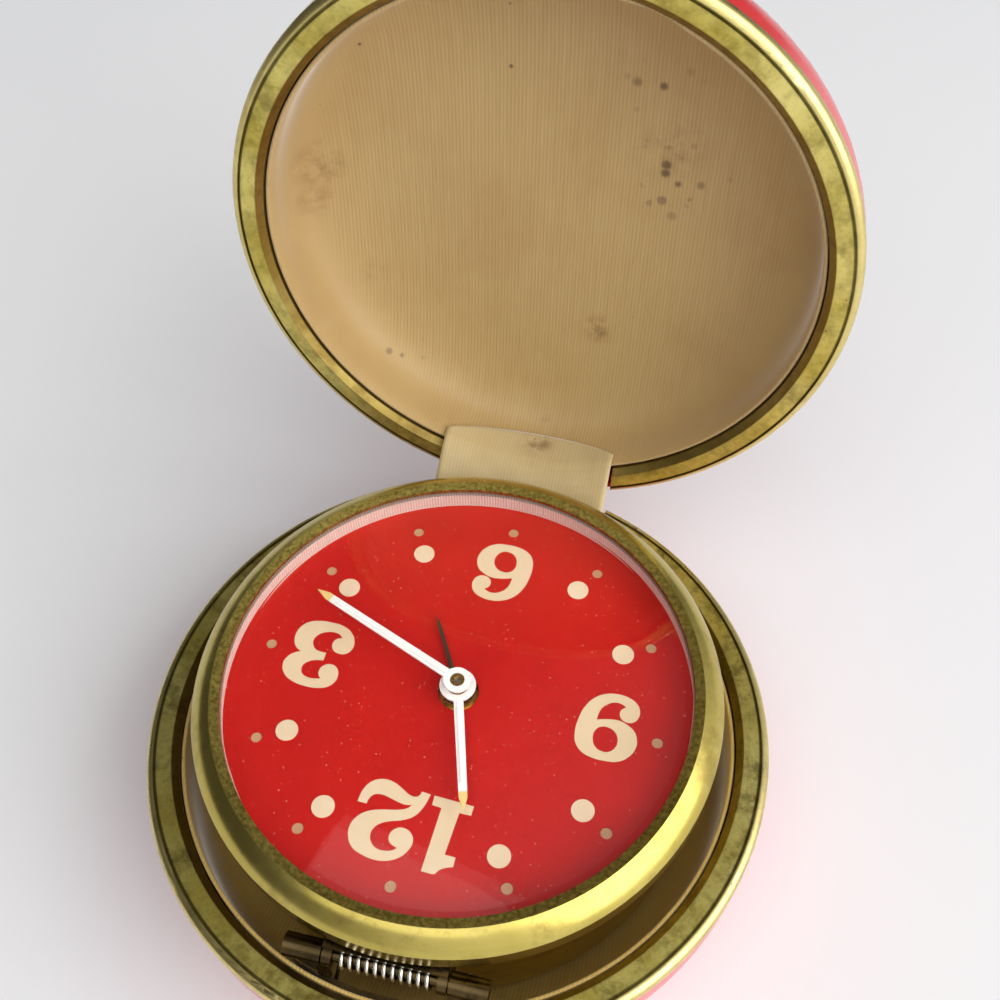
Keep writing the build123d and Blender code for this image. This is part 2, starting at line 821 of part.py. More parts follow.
# Clock case: drum band, bezel, crystal, dial ring, dial and back cover
ledge_top = front_plate_bottom
with BuildPart() as case_band:
    rod(centre, cover_top, band_top, band_radius)
    rod(centre, cover_top, band_top, band_inner, Mode.SUBTRACT)
    with BuildSketch(Plane((centre[0], centre[1], ledge_top - band_ledge_height))):
        Circle(band_inner)
        Circle(band_inner - band_ledge, mode=Mode.SUBTRACT)
    extrude(amount=band_ledge_height)
finish(case_band, "case_band")

bezel_section = Plane((centre[0], centre[1], 0), x_dir=(1, 0, 0), z_dir=(0, -1, 0))
clock_axis = Axis((centre[0], centre[1], 0), (0, 0, 1))
skirt_inner = band_radius + pivot_clearance
lip_bottom = crystal_top + crystal_play
lip_inner_top = lip_bottom + bezel_sheet
lip_top = lip_inner_top + bezel_shoulder
bezel_edge_z = bezel_bottom + bezel_skirt - bezel_shoulder
with BuildPart() as bezel:
    with BuildSketch(bezel_section):
        with BuildLine():
            side = Line((bezel_radius, bezel_bottom), (bezel_radius, bezel_edge_z))
            face = SagittaArc(side @ 1, (bezel_opening + bezel_lip_bevel, lip_top), -bezel_shoulder)
            Polyline(
                face @ 1,
                (bezel_opening, lip_inner_top),
                (bezel_opening, lip_bottom),
                (crystal_radius + crystal_play, lip_bottom),
                (crystal_radius + crystal_play, band_top),
                (skirt_inner, band_top),
                (skirt_inner, bezel_bottom),
                (skirt_inner + bezel_sheet, bezel_bottom),
                (skirt_inner + bezel_sheet, band_top - bezel_sheet),
                (bezel_radius - bezel_sheet, band_top - 2 * bezel_sheet),
                (bezel_radius - bezel_sheet, bezel_bottom),
                side @ 0,
            )
        make_face()
    revolve(axis=clock_axis)
finish(bezel, "bezel")

dome_edge = bezel_opening - 2 * crystal_play
dome_top = crystal_top + crystal_dome
with BuildPart() as crystal:
    with BuildSketch(bezel_section):
        with BuildLine():
            outside = TangentArc((0, dome_top), (dome_edge, crystal_top), tangent=(1, 0))
            Polyline(
                outside @ 1,
                (crystal_radius, crystal_top),
                (crystal_radius, band_top),
                (dome_edge - crystal_wall, band_top),
            )
            inside = TangentArc(
                (0, dome_top - crystal_wall), (dome_edge - crystal_wall, band_top), tangent=(1, 0)
            )
            Line(inside @ 0, outside @ 0)
        make_face()
    revolve(axis=clock_axis)
finish(crystal, "crystal")

with BuildPart() as dial_ring:
    rod(centre, dial_top, band_top, dial_radius)
    rod(centre, dial_top, band_top, dial_radius - dial_ring_wall, Mode.SUBTRACT)
finish(dial_ring, "dial_ring")


def dial_place(circle, hour):
    """Place in plan at an hour, with twelve towards the front."""
    return polar(centre, circle, 270 - hour * hour_angle - dial_turn)


small_places = [dial_place(small_dot_circle, hour) for hour in range(12)]
big_places = [dial_place(big_dot_circle, hour) for hour in range(12) if hour % 3]
with BuildPart() as dial:
    rod(centre, dial_bottom, dial_top, dial_radius)
    rod(centre, dial_bottom, dial_top, dial_hole, Mode.SUBTRACT)
    for place in small_places:
        rod(place, dial_bottom, dial_top, small_dot_radius, Mode.SUBTRACT)
    for place in foot_places:
        rod(place, front_plate_bottom, dial_bottom, dial_foot_radius)
finish(dial, "dial")

with BuildPart() as lume_dots:
    for place in small_places:
        rod(place, dial_bottom, dial_top - dot_thickness, small_dot_radius - press_clearance)
    for place in big_places:
        rod(place, dial_top, dial_top + dot_thickness, big_dot_radius)
finish(lume_dots, "lume_dots")

bore_radius = barrel_arbor_radius + pivot_clearance
thin_bore = arbor_radius + pivot_clearance
screw_bore = screw_radius + pivot_clearance
with BuildPart() as back_cover:
    rod(centre, cover_bottom, cover_top, band_radius)
    rod(centre, cover_top, cover_top + cover_lip, band_inner - seat_clearance)
    rod(centre, cover_top, cover_top + cover_lip, band_inner - seat_clearance - band_wall, Mode.SUBTRACT)
    for place in (going_place, alarm_place):
        rod(place, cover_bottom, cover_top, bore_radius, Mode.SUBTRACT)
    for place in (centre, setting_place):
        rod(place, cover_bottom, cover_top, thin_bore, Mode.SUBTRACT)
    rod(button_place, cover_bottom, cover_top, button_radius + pivot_clearance, Mode.SUBTRACT)
    for place in post_places:
        rod(place, cover_bottom, cover_top, screw_bore, Mode.SUBTRACT)
    with BuildSketch(Plane((balance_place[0], balance_place[1], cover_bottom))):
        with BuildLine(mode=Mode.PRIVATE) as slot_line:
            CenterArc(
                (0, 0),
                regulator_reach,
                regulator_angle - regulator_swing - regulator_slot_end,
                2 * (regulator_swing + regulator_slot_end),
            )
        SlotArc(slot_line.line.edge(), 2 * (regulator_pin_radius + plate_play))
    extrude(amount=cover_thickness, mode=Mode.SUBTRACT)
finish(back_cover, "back_cover")

# Movement frame: two plates, pillars, posts to the cover, and their screws
through_places = (
    third_place,
    fourth_place,
    escape_place,
    lever_place,
    balance_place,
    strike_place,
    hammer_place,
)
centre_bore = arbor_radius + pivot_clearance + centre_pipe_wall
with BuildPart() as front_plate:
    rod(centre, front_plate_bottom, front_plate_top, plate_radius)
    for place in (*through_places, setting_place):
        rod(place, front_plate_bottom, front_plate_top, thin_bore, Mode.SUBTRACT)
    for place in (going_place, alarm_place):
        rod(place, front_plate_bottom, front_plate_top, bore_radius, Mode.SUBTRACT)
    rod(centre, front_plate_bottom, front_plate_top, centre_bore + pivot_clearance, Mode.SUBTRACT)
    for place in foot_places:
        rod(place, front_plate_bottom, front_plate_top, dial_foot_radius + pivot_clearance, Mode.SUBTRACT)
    rod(minute_place, front_plate_top, hour_wheel_bottom + motion_sheet + motion_gap / 2, arbor_radius)
finish(front_plate, "front_plate")

with BuildPart() as back_plate:
    rod(centre, back_plate_bottom, back_plate_top, back_plate_radius)
    for place in (*through_places, setting_place):
        rod(place, back_plate_bottom, back_plate_top, thin_bore, Mode.SUBTRACT)
    for place in (going_place, alarm_place):
        rod(place, back_plate_bottom, back_plate_top, bore_radius, Mode.SUBTRACT)
    rod(centre, back_plate_bottom, back_plate_top, centre_bore + pivot_clearance, Mode.SUBTRACT)
    for place in pillar_places:
        rod(place, back_plate_bottom, back_plate_top, screw_bore, Mode.SUBTRACT)
finish(back_plate, "back_plate")

with BuildPart() as pillars:
    for place in pillar_places:
        rod(place, back_plate_top, front_plate_bottom, pillar_radius)
        rod(place, back_plate_top, back_plate_top + screw_reach, screw_bore, Mode.SUBTRACT)
finish(pillars, "pillars")

with BuildPart() as movement_screws:
    for place in pillar_places:
        rod(place, back_plate_bottom - screw_head_height, back_plate_bottom, screw_head_radius)
        rod(place, back_plate_bottom, back_plate_top + screw_reach - seat_clearance, screw_radius)
finish(movement_screws, "movement_screws")

with BuildPart() as case_posts:
    for place in post_places:
        rod(place, cover_top, back_plate_bottom, post_radius)
        rod(place, cover_top, cover_top + screw_reach, screw_bore, Mode.SUBTRACT)
finish(case_posts, "case_posts")

with BuildPart() as case_screws:
    for place in post_places:
        rod(place, cover_bottom - screw_head_height, cover_bottom, screw_head_radius)
        rod(place, cover_bottom, cover_top + screw_reach - seat_clearance, screw_radius)
finish(case_screws, "case_screws")

# Spring barrels: toothed drums with a coiled mainspring, arbor and wing key each
drum_radius = great_module * (great_teeth / 2 - dedendum)
drum_inner = drum_radius - barrel_wall
spring_inner = barrel_arbor_radius + seat_clearance + mainspring_strip / 2


def barrel(place, phase):
    rod(place, barrel_bottom, barrel_teeth_bottom, drum_radius)
    gear(place, barrel_teeth_bottom, barrel_tooth_height, great_teeth, great_module, phase)
    rod(place, barrel_bottom + barrel_wall, barrel_top - barrel_wall, drum_inner, Mode.SUBTRACT)
    rod(place, barrel_bottom, barrel_top, bore_radius, Mode.SUBTRACT)


def mainspring(place):
    flat_spiral(
        place,
        barrel_bottom + barrel_wall + seat_clearance,
        barrel_height - 2 * barrel_wall - 2 * seat_clearance,
        spring_inner,
        mainspring_strip,
        mainspring_pitch,
        mainspring_half_turns,
    )


def wing_key(place):
    """Round hub with two flat wings, bored for the arbor's end."""
    rod(place, key_bottom, key_top, key_hub_radius)
    with BuildSketch(Plane((place[0], place[1], key_bottom))) as profile:
        SlotOverall(key_span, key_wing)
    extrude(profile.sketch, amount=key_height - key_gap)
    rod(place, key_bottom + key_gap, key_top, barrel_arbor_radius + press_clearance, Mode.SUBTRACT)


with BuildPart() as going_barrel:
    barrel(going_place, going_direction)
finish(going_barrel, "going_barrel")

with BuildPart() as going_mainspring:
    mainspring(going_place)
finish(going_mainspring, "going_mainspring")

with BuildPart() as going_arbor:
    rod(going_place, key_bottom + key_gap, front_plate_top, barrel_arbor_radius)
finish(going_arbor, "going_arbor")

with BuildPart() as time_key:
    wing_key(going_place)
finish(time_key, "time_key")

with BuildPart() as alarm_barrel:
    barrel(alarm_place, strike_direction)
finish(alarm_barrel, "alarm_barrel")

with BuildPart() as alarm_mainspring:
    mainspring(alarm_place)
finish(alarm_mainspring, "alarm_mainspring")

with BuildPart() as alarm_arbor:
    rod(alarm_place, key_bottom + key_gap, front_plate_top, barrel_arbor_radius)
finish(alarm_arbor, "alarm_arbor")

with BuildPart() as alarm_key:
    wing_key(alarm_place)
finish(alarm_key, "alarm_key")


def facing(direction, teeth):
    """Phase that turns a gap of a pinion to the wheel that drives it from a direction."""
    return direction + 180 + 180 / teeth


def pinion(place, wheel_bottom, wheel_height, teeth, module, phase):
    gear(place, wheel_bottom - pinion_extra, wheel_height + 2 * pinion_extra, teeth, module, phase)


# Going train: centre, third, fourth and escape wheels on their arbors
with BuildPart() as centre_wheel:
    pinion(
        centre,
        barrel_teeth_bottom,
        barrel_tooth_height,
        centre_pinion_teeth,
        great_module,
        facing(going_direction + 180, centre_pinion_teeth),
    )
    gear(centre, centre_wheel_bottom, wheel_sheet, centre_teeth, centre_module, third_direction)
    crossings(centre, centre_wheel_bottom, wheel_sheet, centre_module * centre_teeth / 2)
    rod(centre, back_plate_bottom, front_plate_top, centre_bore)
    rod(centre, back_plate_bottom, front_plate_top, thin_bore, Mode.SUBTRACT)
finish(centre_wheel, "centre_wheel")

with BuildPart() as third_wheel:
    pinion(
        third_place,
        centre_wheel_bottom,
        wheel_sheet,
        third_pinion_teeth,
        centre_module,
        facing(third_direction, third_pinion_teeth),
    )
    gear(third_place, third_wheel_bottom, wheel_sheet, third_teeth, third_module, fourth_direction)
    crossings(third_place, third_wheel_bottom, wheel_sheet, third_module * third_teeth / 2)
    rod(third_place, back_plate_bottom, front_plate_top, arbor_radius)
finish(third_wheel, "third_wheel")

with BuildPart() as fourth_wheel:
    pinion(
        fourth_place,
        third_wheel_bottom,
        wheel_sheet,
        fourth_pinion_teeth,
        third_module,
        facing(fourth_direction, fourth_pinion_teeth),
    )
    gear(fourth_place, fourth_wheel_bottom, wheel_sheet, fourth_teeth, fourth_module, escape_direction)
    crossings(fourth_place, fourth_wheel_bottom, wheel_sheet, fourth_module * fourth_teeth / 2)
    rod(fourth_place, back_plate_bottom, front_plate_top, arbor_radius)
finish(fourth_wheel, "fourth_wheel")

with BuildPart() as escape_wheel:
    pinion(
        escape_place,
        fourth_wheel_bottom,
        wheel_sheet,
        escape_pinion_teeth,
        fourth_module,
        facing(escape_direction, escape_pinion_teeth),
    )
    ratchet(escape_place, centre_wheel_bottom, wheel_sheet, escape_teeth, escape_radius, escape_tooth)
    rod(escape_place, back_plate_bottom, front_plate_top, arbor_radius)
finish(escape_wheel, "escape_wheel")


def arm(start, end, bottom, height, width):
    """Flat round-ended bar between two places in plan."""
    along = Vector(end[0] - start[0], end[1] - start[1])
    middle = ((start[0] + end[0]) / 2, (start[1] + end[1]) / 2, bottom)
    with BuildSketch(Plane(middle, x_dir=along, z_dir=(0, 0, 1))) as profile:
        SlotCenterToCenter(along.length, width)
    extrude(profile.sketch, amount=height)


def pallet_arms(place, wheel_place, wheel_radius, direction):
    """Two arms from a pivot to pallet pins that stand clear of a wheel's teeth."""
    ring = wheel_radius + pallet_room + pallet_radius
    for spread in (-pallet_spread, pallet_spread):
        pin = polar(wheel_place, ring, direction + spread)
        arm(place, pin, arm_bottom, wheel_sheet, lever_width)
        rod(pin, centre_wheel_bottom, arm_bottom, pallet_radius)
    rod(place, back_plate_bottom, front_plate_top, arbor_radius)


# Escapement: pallet lever, balance and hairspring
with BuildPart() as pallet_lever:
    pallet_arms(lever_place, escape_place, escape_radius, balance_direction)
    fork_end = polar(balance_place, fork_room + lever_width / 2, balance_direction + 180)
    arm(lever_place, fork_end, arm_bottom, wheel_sheet, lever_width)
finish(pallet_lever, "pallet_lever")

with BuildPart() as balance_wheel:
    rod(balance_place, balance_bottom, balance_top, balance_radius)
    rod(balance_place, balance_bottom, balance_top, balance_radius - balance_rim, Mode.SUBTRACT)
    for side in (0, 90):
        arm(
            polar(balance_place, balance_radius - balance_rim, side),
            polar(balance_place, balance_radius - balance_rim, side + 180),
            balance_bottom,
            balance_height,
            balance_rim,
        )
    rod(balance_place, centre_wheel_bottom, balance_bottom, roller_radius)
    rod(balance_place, back_plate_bottom, front_plate_top, arbor_radius)
finish(balance_wheel, "balance_wheel")

with BuildPart() as hairspring:
    flat_spiral(
        balance_place,
        balance_top + hairspring_gap,
        hairspring_height,
        hairspring_inner,
        hairspring_strip,
        hairspring_pitch,
        hairspring_half_turns,
    )
finish(hairspring, "hairspring")

# Alarm strike: escape wheel turned by the alarm barrel, and the hammer that it rocks
with BuildPart() as strike_wheel:
    pinion(
        strike_place,
        barrel_teeth_bottom,
        barrel_tooth_height,
        strike_pinion_teeth,
        great_module,
        facing(strike_direction, strike_pinion_teeth),
    )
    ratchet(strike_place, centre_wheel_bottom, wheel_sheet, strike_teeth, strike_radius, escape_tooth)
    rod(strike_place, back_plate_bottom, front_plate_top, arbor_radius)
finish(strike_wheel, "strike_wheel")

with BuildPart() as alarm_hammer:
    pallet_arms(hammer_place, strike_place, strike_radius, hammer_direction)
    head = polar(hammer_place, hammer_reach, hammer_turn)
    arm(hammer_place, head, arm_bottom, wheel_sheet, lever_width)
    rod(head, arm_bottom, arm_bottom + 2 * wheel_sheet, hammer_head_radius)
finish(alarm_hammer, "alarm_hammer")

# Motion work under the dial: minute, hour and alarm-setting wheels
with BuildPart() as cannon_pinion:
    pinion(
        centre,
        minute_wheel_bottom + pinion_extra,
        motion_sheet - pinion_extra,
        cannon_teeth,
        cannon_module,
        facing(minute_direction + 180, cannon_teeth),
    )
    rod(centre, minute_wheel_bottom, minute_hand_top, hour_pipe_bore - pivot_clearance)
    rod(centre, minute_wheel_bottom, minute_hand_top, arbor_radius + press_clearance, Mode.SUBTRACT)
finish(cannon_pinion, "cannon_pinion")

with BuildPart() as minute_wheel:
    gear(
        minute_place,
        minute_wheel_bottom,
        motion_sheet,
        minute_teeth,
        cannon_module,
        minute_direction + 180,
    )
    gear(
        minute_place,
        minute_wheel_bottom + motion_sheet,
        motion_gap + motion_sheet,
        minute_pinion_teeth,
        hour_module,
        facing(minute_direction, minute_pinion_teeth),
    )
    rod(minute_place, minute_wheel_bottom, alarm_wheel_bottom, thin_bore, Mode.SUBTRACT)
finish(minute_wheel, "minute_wheel")

with BuildPart() as hour_wheel:
    gear(centre, hour_wheel_bottom, motion_sheet, hour_teeth, hour_module, minute_direction)
    rod(centre, hour_wheel_bottom, hour_hand_bottom + hand_sheet, hour_pipe_bore + pipe_wall)
    rod(centre, hour_wheel_bottom, hour_hand_bottom + hand_sheet, hour_pipe_bore, Mode.SUBTRACT)
finish(hour_wheel, "hour_wheel")

with BuildPart() as alarm_wheel:
    gear(centre, alarm_wheel_bottom, motion_sheet, alarm_wheel_teeth, setting_module, setting_direction)
    rod(centre, alarm_wheel_bottom, alarm_hand_bottom + hand_sheet, alarm_pipe_radius)
    rod(centre, alarm_wheel_bottom, alarm_hand_bottom + hand_sheet, alarm_pipe_bore, Mode.SUBTRACT)
finish(alarm_wheel, "alarm_wheel")

with BuildPart() as alarm_set_arbor:
    gear(
        setting_place,
        alarm_wheel_bottom,
        motion_sheet,
        setting_teeth,
        setting_module,
        facing(setting_direction, setting_teeth),
    )
    rod(setting_place, key_bottom + key_gap, alarm_wheel_bottom, arbor_radius)
finish(alarm_set_arbor, "alarm_set_arbor")

with BuildPart() as centre_arbor:
    rod(centre, key_bottom + key_gap, minute_hand_top - arbor_recess, arbor_radius)
finish(centre_arbor, "centre_arbor")


def hand_plane(bottom, angle):
    """Plane of a hand: local x points from the hub to the tip."""
    turned = radians(angle + dial_turn)
    return Plane((centre[0], centre[1], bottom), x_dir=(-sin(turned), -cos(turned), 0), z_dir=(0, 0, 1))


def hand(bottom, angle, length, hub_radius, root_width, tip_width, bore, ridge):
    """Hub disc and a bar that narrows to a point, with a raised middle."""
    plane = hand_plane(bottom, angle)
    with BuildSketch(plane) as profile:
        Circle(hub_radius)
        with BuildLine():
            Polyline(
                (0, -root_width / 2),
                (length - hand_point, -tip_width / 2),
                (length, 0),
                (length - hand_point, tip_width / 2),
                (0, root_width / 2),
                close=True,
            )
        make_face()
    extrude(profile.sketch, amount=hand_sheet)
    if ridge:
        ridge_length = length - hub_radius - 2 * hand_point
        with BuildSketch(plane.offset(hand_sheet)) as profile:
            with Locations((hub_radius, 0)):
                Rectangle(ridge_length, root_width / 3, align=(Align.MIN, Align.CENTER))
        extrude(profile.sketch, amount=ridge)
    rod(centre, bottom, bottom + hand_sheet, bore + press_clearance, Mode.SUBTRACT)


with BuildPart() as minute_hand:
    hand(
        minute_hand_bottom,
        minute_hand_angle,
        minute_hand_length,
        minute_hub_radius,
        hand_root_width,
        hand_tip_width,
        hour_pipe_bore - pivot_clearance,
        hand_ridge,
    )
finish(minute_hand, "minute_hand")

with BuildPart() as hour_hand:
    hand(
        hour_hand_bottom,
        hour_hand_angle,
        hour_hand_length,
        hour_hub_radius,
        hand_root_width,
        hand_tip_width,
        hour_pipe_bore + pipe_wall,
        hand_ridge,
    )
finish(hour_hand, "hour_hand")

with BuildPart() as alarm_hand:
    hand(
        alarm_hand_bottom,
        alarm_hand_angle,
        alarm_hand_length,
        alarm_hub_radius,
        alarm_root_width,
        alarm_tip_width,
        alarm_pipe_radius,
        0,
    )
finish(alarm_hand, "alarm_hand")


def fluted_knob(place):
    """Low knob with finger flutes, bored for a thin arbor."""
    rod(place, key_bottom, key_top, knob_radius)
    with BuildSketch(Plane((place[0], place[1], key_bottom))) as profile:
        with PolarLocations(knob_radius, knob_flutes):
            Circle(knob_flute_depth)
    extrude(profile.sketch, amount=key_height, mode=Mode.SUBTRACT)
    rod(place, key_bottom + key_gap, key_top, arbor_radius + press_clearance, Mode.SUBTRACT)


# Back of the clock: setting knobs, alarm stop button and regulator
with BuildPart() as time_set_knob:
    fluted_knob(centre)
finish(time_set_knob, "time_set_knob")

with BuildPart() as alarm_set_knob:
    fluted_knob(setting_place)
finish(alarm_set_knob, "alarm_set_knob")

button_top = cover_top + pivot_clearance + button_flange
with BuildPart() as alarm_stop_button:
    rod(button_place, cover_bottom - button_height, button_top, button_radius)
    rod(button_place, cover_top + pivot_clearance, button_top, button_radius + button_flange)
finish(alarm_stop_button, "alarm_stop_button")

regulator_top = back_plate_bottom - seat_clearance
regulator_bottom = regulator_top - regulator_sheet
with BuildPart() as regulator_lever:
    tail = polar(balance_place, regulator_reach, regulator_angle)
    arm(balance_place, tail, regulator_bottom, regulator_sheet, 4 * arbor_radius)
    rod(balance_place, regulator_bottom, regulator_top, 3 * arbor_radius)
    rod(tail, cover_bottom, regulator_bottom, regulator_pin_radius)
    rod(balance_place, regulator_bottom, regulator_top, thin_bore, Mode.SUBTRACT)
finish(regulator_lever, "regulator_lever")
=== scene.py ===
import math

import bpy
import numpy as np
from mathutils import Matrix, Vector, noise


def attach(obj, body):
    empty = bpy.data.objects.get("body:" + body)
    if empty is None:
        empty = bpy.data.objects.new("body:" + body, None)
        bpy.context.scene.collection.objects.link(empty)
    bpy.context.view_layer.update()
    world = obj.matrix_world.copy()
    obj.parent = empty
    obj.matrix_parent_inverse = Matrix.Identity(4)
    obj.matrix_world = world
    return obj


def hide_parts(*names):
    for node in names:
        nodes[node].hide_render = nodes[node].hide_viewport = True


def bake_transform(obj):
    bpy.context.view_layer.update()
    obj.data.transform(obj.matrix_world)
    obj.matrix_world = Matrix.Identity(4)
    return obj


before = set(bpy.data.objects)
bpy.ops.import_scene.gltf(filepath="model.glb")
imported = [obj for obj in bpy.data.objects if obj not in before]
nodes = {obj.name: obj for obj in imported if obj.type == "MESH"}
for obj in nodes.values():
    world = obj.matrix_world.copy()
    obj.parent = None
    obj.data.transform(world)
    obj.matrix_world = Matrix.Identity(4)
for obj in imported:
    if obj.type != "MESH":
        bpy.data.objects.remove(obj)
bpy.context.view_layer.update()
MM = 0.001

# Sizes shared with the solids, in metres
parting = 20.0 * MM
clock_y = 1.2 * MM
dial_top = 24.6 * MM
dial_turn = math.radians(3.0)
case_radius = 40.0 * MM
rim_bead = 1.0 * MM
rim_groove = 0.3 * MM
rim_slope = 0.8 * MM
rim_inner = 35.9 * MM
bezel_face = 30.6 * MM
lining_radius = 35.7 * MM
lining_wall = 0.5 * MM
lining_edge = 1.1 * MM
strap_radius = 34.65 * MM
strap_half = 12.5 * MM
strap_thickness = 0.42 * MM
strap_turn = 1.3 * MM
strap_base_depth = 6.1 * MM
strap_lid_depth = 6.2 * MM
strap_lid_curve = 3.8 * MM
strap_ease = 2.2 * MM
lid_swing = math.radians(95.5)
hinge_axis = Vector((0, 39.2 * MM, 19.0 * MM))
lid_rear = Vector((0, math.cos(lid_swing), -math.sin(lid_swing)))
lid_into = Vector((0, math.sin(lid_swing), math.cos(lid_swing)))
lid_centre = hinge_axis - lid_rear * hinge_axis.y + lid_into * 1.1 * MM
base_rear = Vector((0, 1, 0))
base_into = Vector((0, 0, -1))
base_centre = Vector((0, 0, parting))
across = Vector((1, 0, 0))

# What only the cloth pieces have: rolled edge, puckers, padding, dents, creases and weave
lining_lip, lining_roll, lining_least_wall = 0.15 * MM, 0.12 * MM, 0.16 * MM
lining_turns = 240
pucker_height, pucker_scale = 0.03 * MM, 14
wave_height, wave_scale = 0.1 * MM, 90
dent_angle, dent_spread, dent_reach = 0.35, 0.07, 4 * MM
crease_height, ripple_height = 0.16 * MM, 0.05 * MM
thin_from, thin_share = 0.93, 0.45
rib_pitch = 0.48 * MM


class Tree:
    """Short way to add and join the nodes of one material or group."""

    def __init__(self, node_tree):
        self.nodes = node_tree.nodes
        self.links = node_tree.links

    def add(self, kind, inputs=None, **settings):
        node = self.nodes.new(kind)
        for name, value in settings.items():
            setattr(node, name, value)
        for name, value in (inputs or {}).items():
            self.put(value, node.inputs[name])
        return node

    def put(self, value, socket):
        if isinstance(value, bpy.types.NodeSocket):
            self.links.new(value, socket)
        else:
            socket.default_value = value

    def math(self, operation, first, second=0.0):
        return self.add("ShaderNodeMath", {0: first, 1: second}, operation=operation).outputs[0]

    def remap(self, value, low, high, to_low=0.0, to_high=1.0):
        inputs = {"Value": value, "From Min": low, "From Max": high, "To Min": to_low, "To Max": to_high}
        return self.add("ShaderNodeMapRange", inputs).outputs["Result"]

    def mix(self, factor, first, second, blend="MIX"):
        node = self.add("ShaderNodeMix", data_type="RGBA", blend_type=blend)
        for name, value in (("Factor_Float", factor), ("A_Color", first), ("B_Color", second)):
            socket = next(s for s in node.inputs if s.identifier == name)
            self.put(value, socket)
        return next(s for s in node.outputs if s.identifier == "Result_Color")

    def noise(self, place, scale, detail=3.0, roughness=0.55):
        inputs = {"Vector": place, "Scale": scale, "Detail": detail, "Roughness": roughness}
        return self.add("ShaderNodeTexNoise", inputs).outputs["Fac"]

    def spots(self, place, scale, size):
        """Sparse round spots: 1 in the middle of some cells."""
        cells = self.add("ShaderNodeTexVoronoi", {"Vector": place, "Scale": scale})
        chosen = self.add("ShaderNodeSeparateColor", {"Color": cells.outputs["Color"]}).outputs["Red"]
        return self.remap(self.math("ADD", cells.outputs["Distance"], chosen), size, size * 0.5)

    def stretched(self, place, scale):
        return self.add("ShaderNodeMapping", {"Vector": place, "Scale": scale}).outputs["Vector"]

    def place(self):
        """Position on the object, in metres."""
        return self.add("ShaderNodeTexCoord").outputs["Object"]

    def axes(self, vector):
        return self.add("ShaderNodeSeparateXYZ", {"Vector": vector}).outputs

    def vector(self, operation, first, second=(0.0, 0.0, 0.0)):
        return self.add("ShaderNodeVectorMath", {0: first, 1: second}, operation=operation).outputs

    def cover(self, base, mask, share, shade):
        """Lay a colour over a base where a mask is, up to a share."""
        return self.mix(self.math("MULTIPLY", mask, share), base, shade)


def color(red, green, blue):
    """Scene colour from an 8-bit display colour."""
    channels = []
    for level in (red, green, blue):
        share = level / 255
        channels.append(share / 12.92 if share <= 0.04045 else ((share + 0.055) / 1.055) ** 2.4)
    return (*channels, 1.0)


def group(name, fill):
    """Shared effect: a node group whose outputs all vary over the surface."""
    made = bpy.data.node_groups.new(name, "ShaderNodeTree")
    tree = Tree(made)
    values = fill(tree, tree.place())
    for output in values:
        made.interface.new_socket(output, in_out="OUTPUT", socket_type="NodeSocketFloat")
    end = tree.add("NodeGroupOutput")
    for output, socket in values.items():
        tree.links.new(socket, end.inputs[output])
    return made


def ribbed_cloth_fill(tree, place):
    """Ribs that fade on steep walls, threads and slubs along them, soil, lone specks and crowded specks."""
    waver = tree.noise(place, 160.0, 2.0)
    drift = tree.noise(place, 30.0, 2.0)
    phase = tree.math("MULTIPLY", tree.axes(place)["X"], 2 * math.pi / rib_pitch)
    phase = tree.math("ADD", phase, tree.math("MULTIPLY", waver, 1.6))
    phase = tree.math("ADD", phase, tree.math("MULTIPLY", drift, 3.0))
    slant = tree.axes(tree.add("ShaderNodeNewGeometry").outputs["Normal"])["X"]
    level = tree.remap(tree.math("ABSOLUTE", slant), 0.25, 0.6, 1.0, 0.0)
    rib = tree.remap(tree.math("SINE", phase), -1.0, 1.0)
    thread = tree.noise(tree.stretched(place, (6000.0, 500.0, 500.0)), 1.0, 2.0)
    slub = tree.noise(tree.stretched(place, (2600.0, 130.0, 130.0)), 1.0, 3.0)
    height = tree.math("MULTIPLY", tree.math("ADD", rib, tree.math("MULTIPLY", thread, 0.6)), level)
    tone = tree.math("ADD", tree.math("MULTIPLY", rib, 0.4), tree.math("MULTIPLY", slub, 0.6))
    tone = tree.math("ADD", tree.math("MULTIPLY", tree.math("SUBTRACT", tone, 0.5), level), 0.5)
    soil = tree.remap(tree.noise(place, 55.0, 5.0, 0.6), 0.47, 0.78)
    specks = tree.spots(place, 330.0, 0.12)
    crowd = tree.spots(place, 640.0, 0.56)
    return {"Height": height, "Tone": tone, "Soil": soil, "Specks": specks, "Crowd": crowd}


def brass_age_fill(tree, place):
    """Tarnish at three scales, pits, blots and fine scratches."""
    cloud = tree.noise(place, 90.0, 5.0, 0.6)
    mottle = tree.noise(place, 420.0, 6.0, 0.7)
    fine = tree.noise(place, 1900.0, 4.0, 0.65)
    pits = tree.spots(place, 760.0, 0.16)
    blots = tree.remap(tree.noise(place, 170.0, 8.0, 0.75), 0.5, 0.62)
    scratch = tree.remap(tree.noise(tree.stretched(place, (2600.0, 240.0, 900.0)), 1.0, 2.0), 0.62, 0.75)
    return {"Cloud": cloud, "Mottle": mottle, "Fine": fine, "Pits": pits, "Blots": blots, "Scratch": scratch}


def paint_age_fill(tree, place):
    """Soft clouds, orange peel, dust, tiny painted glints and fine scratches."""
    cloud = tree.noise(place, 70.0, 4.0)
    peel = tree.noise(place, 900.0, 2.0)
    dust = tree.spots(place, 520.0, 0.09)
    # Painted glints: tiny pale spots that stand in for light caught on the surface.
    painted_glints = tree.spots(place, 2200.0, 0.28)
    scratch = tree.remap(tree.noise(tree.stretched(place, (300.0, 2400.0, 600.0)), 1.0, 2.0), 0.68, 0.78)
    return {"Cloud": cloud, "Peel": peel, "Dust": dust, "Painted_Glints": painted_glints, "Scratch": scratch}


ribbed_cloth = group("ribbed_cloth", ribbed_cloth_fill)
brass_age = group("brass_age", brass_age_fill)
paint_age = group("paint_age", paint_age_fill)


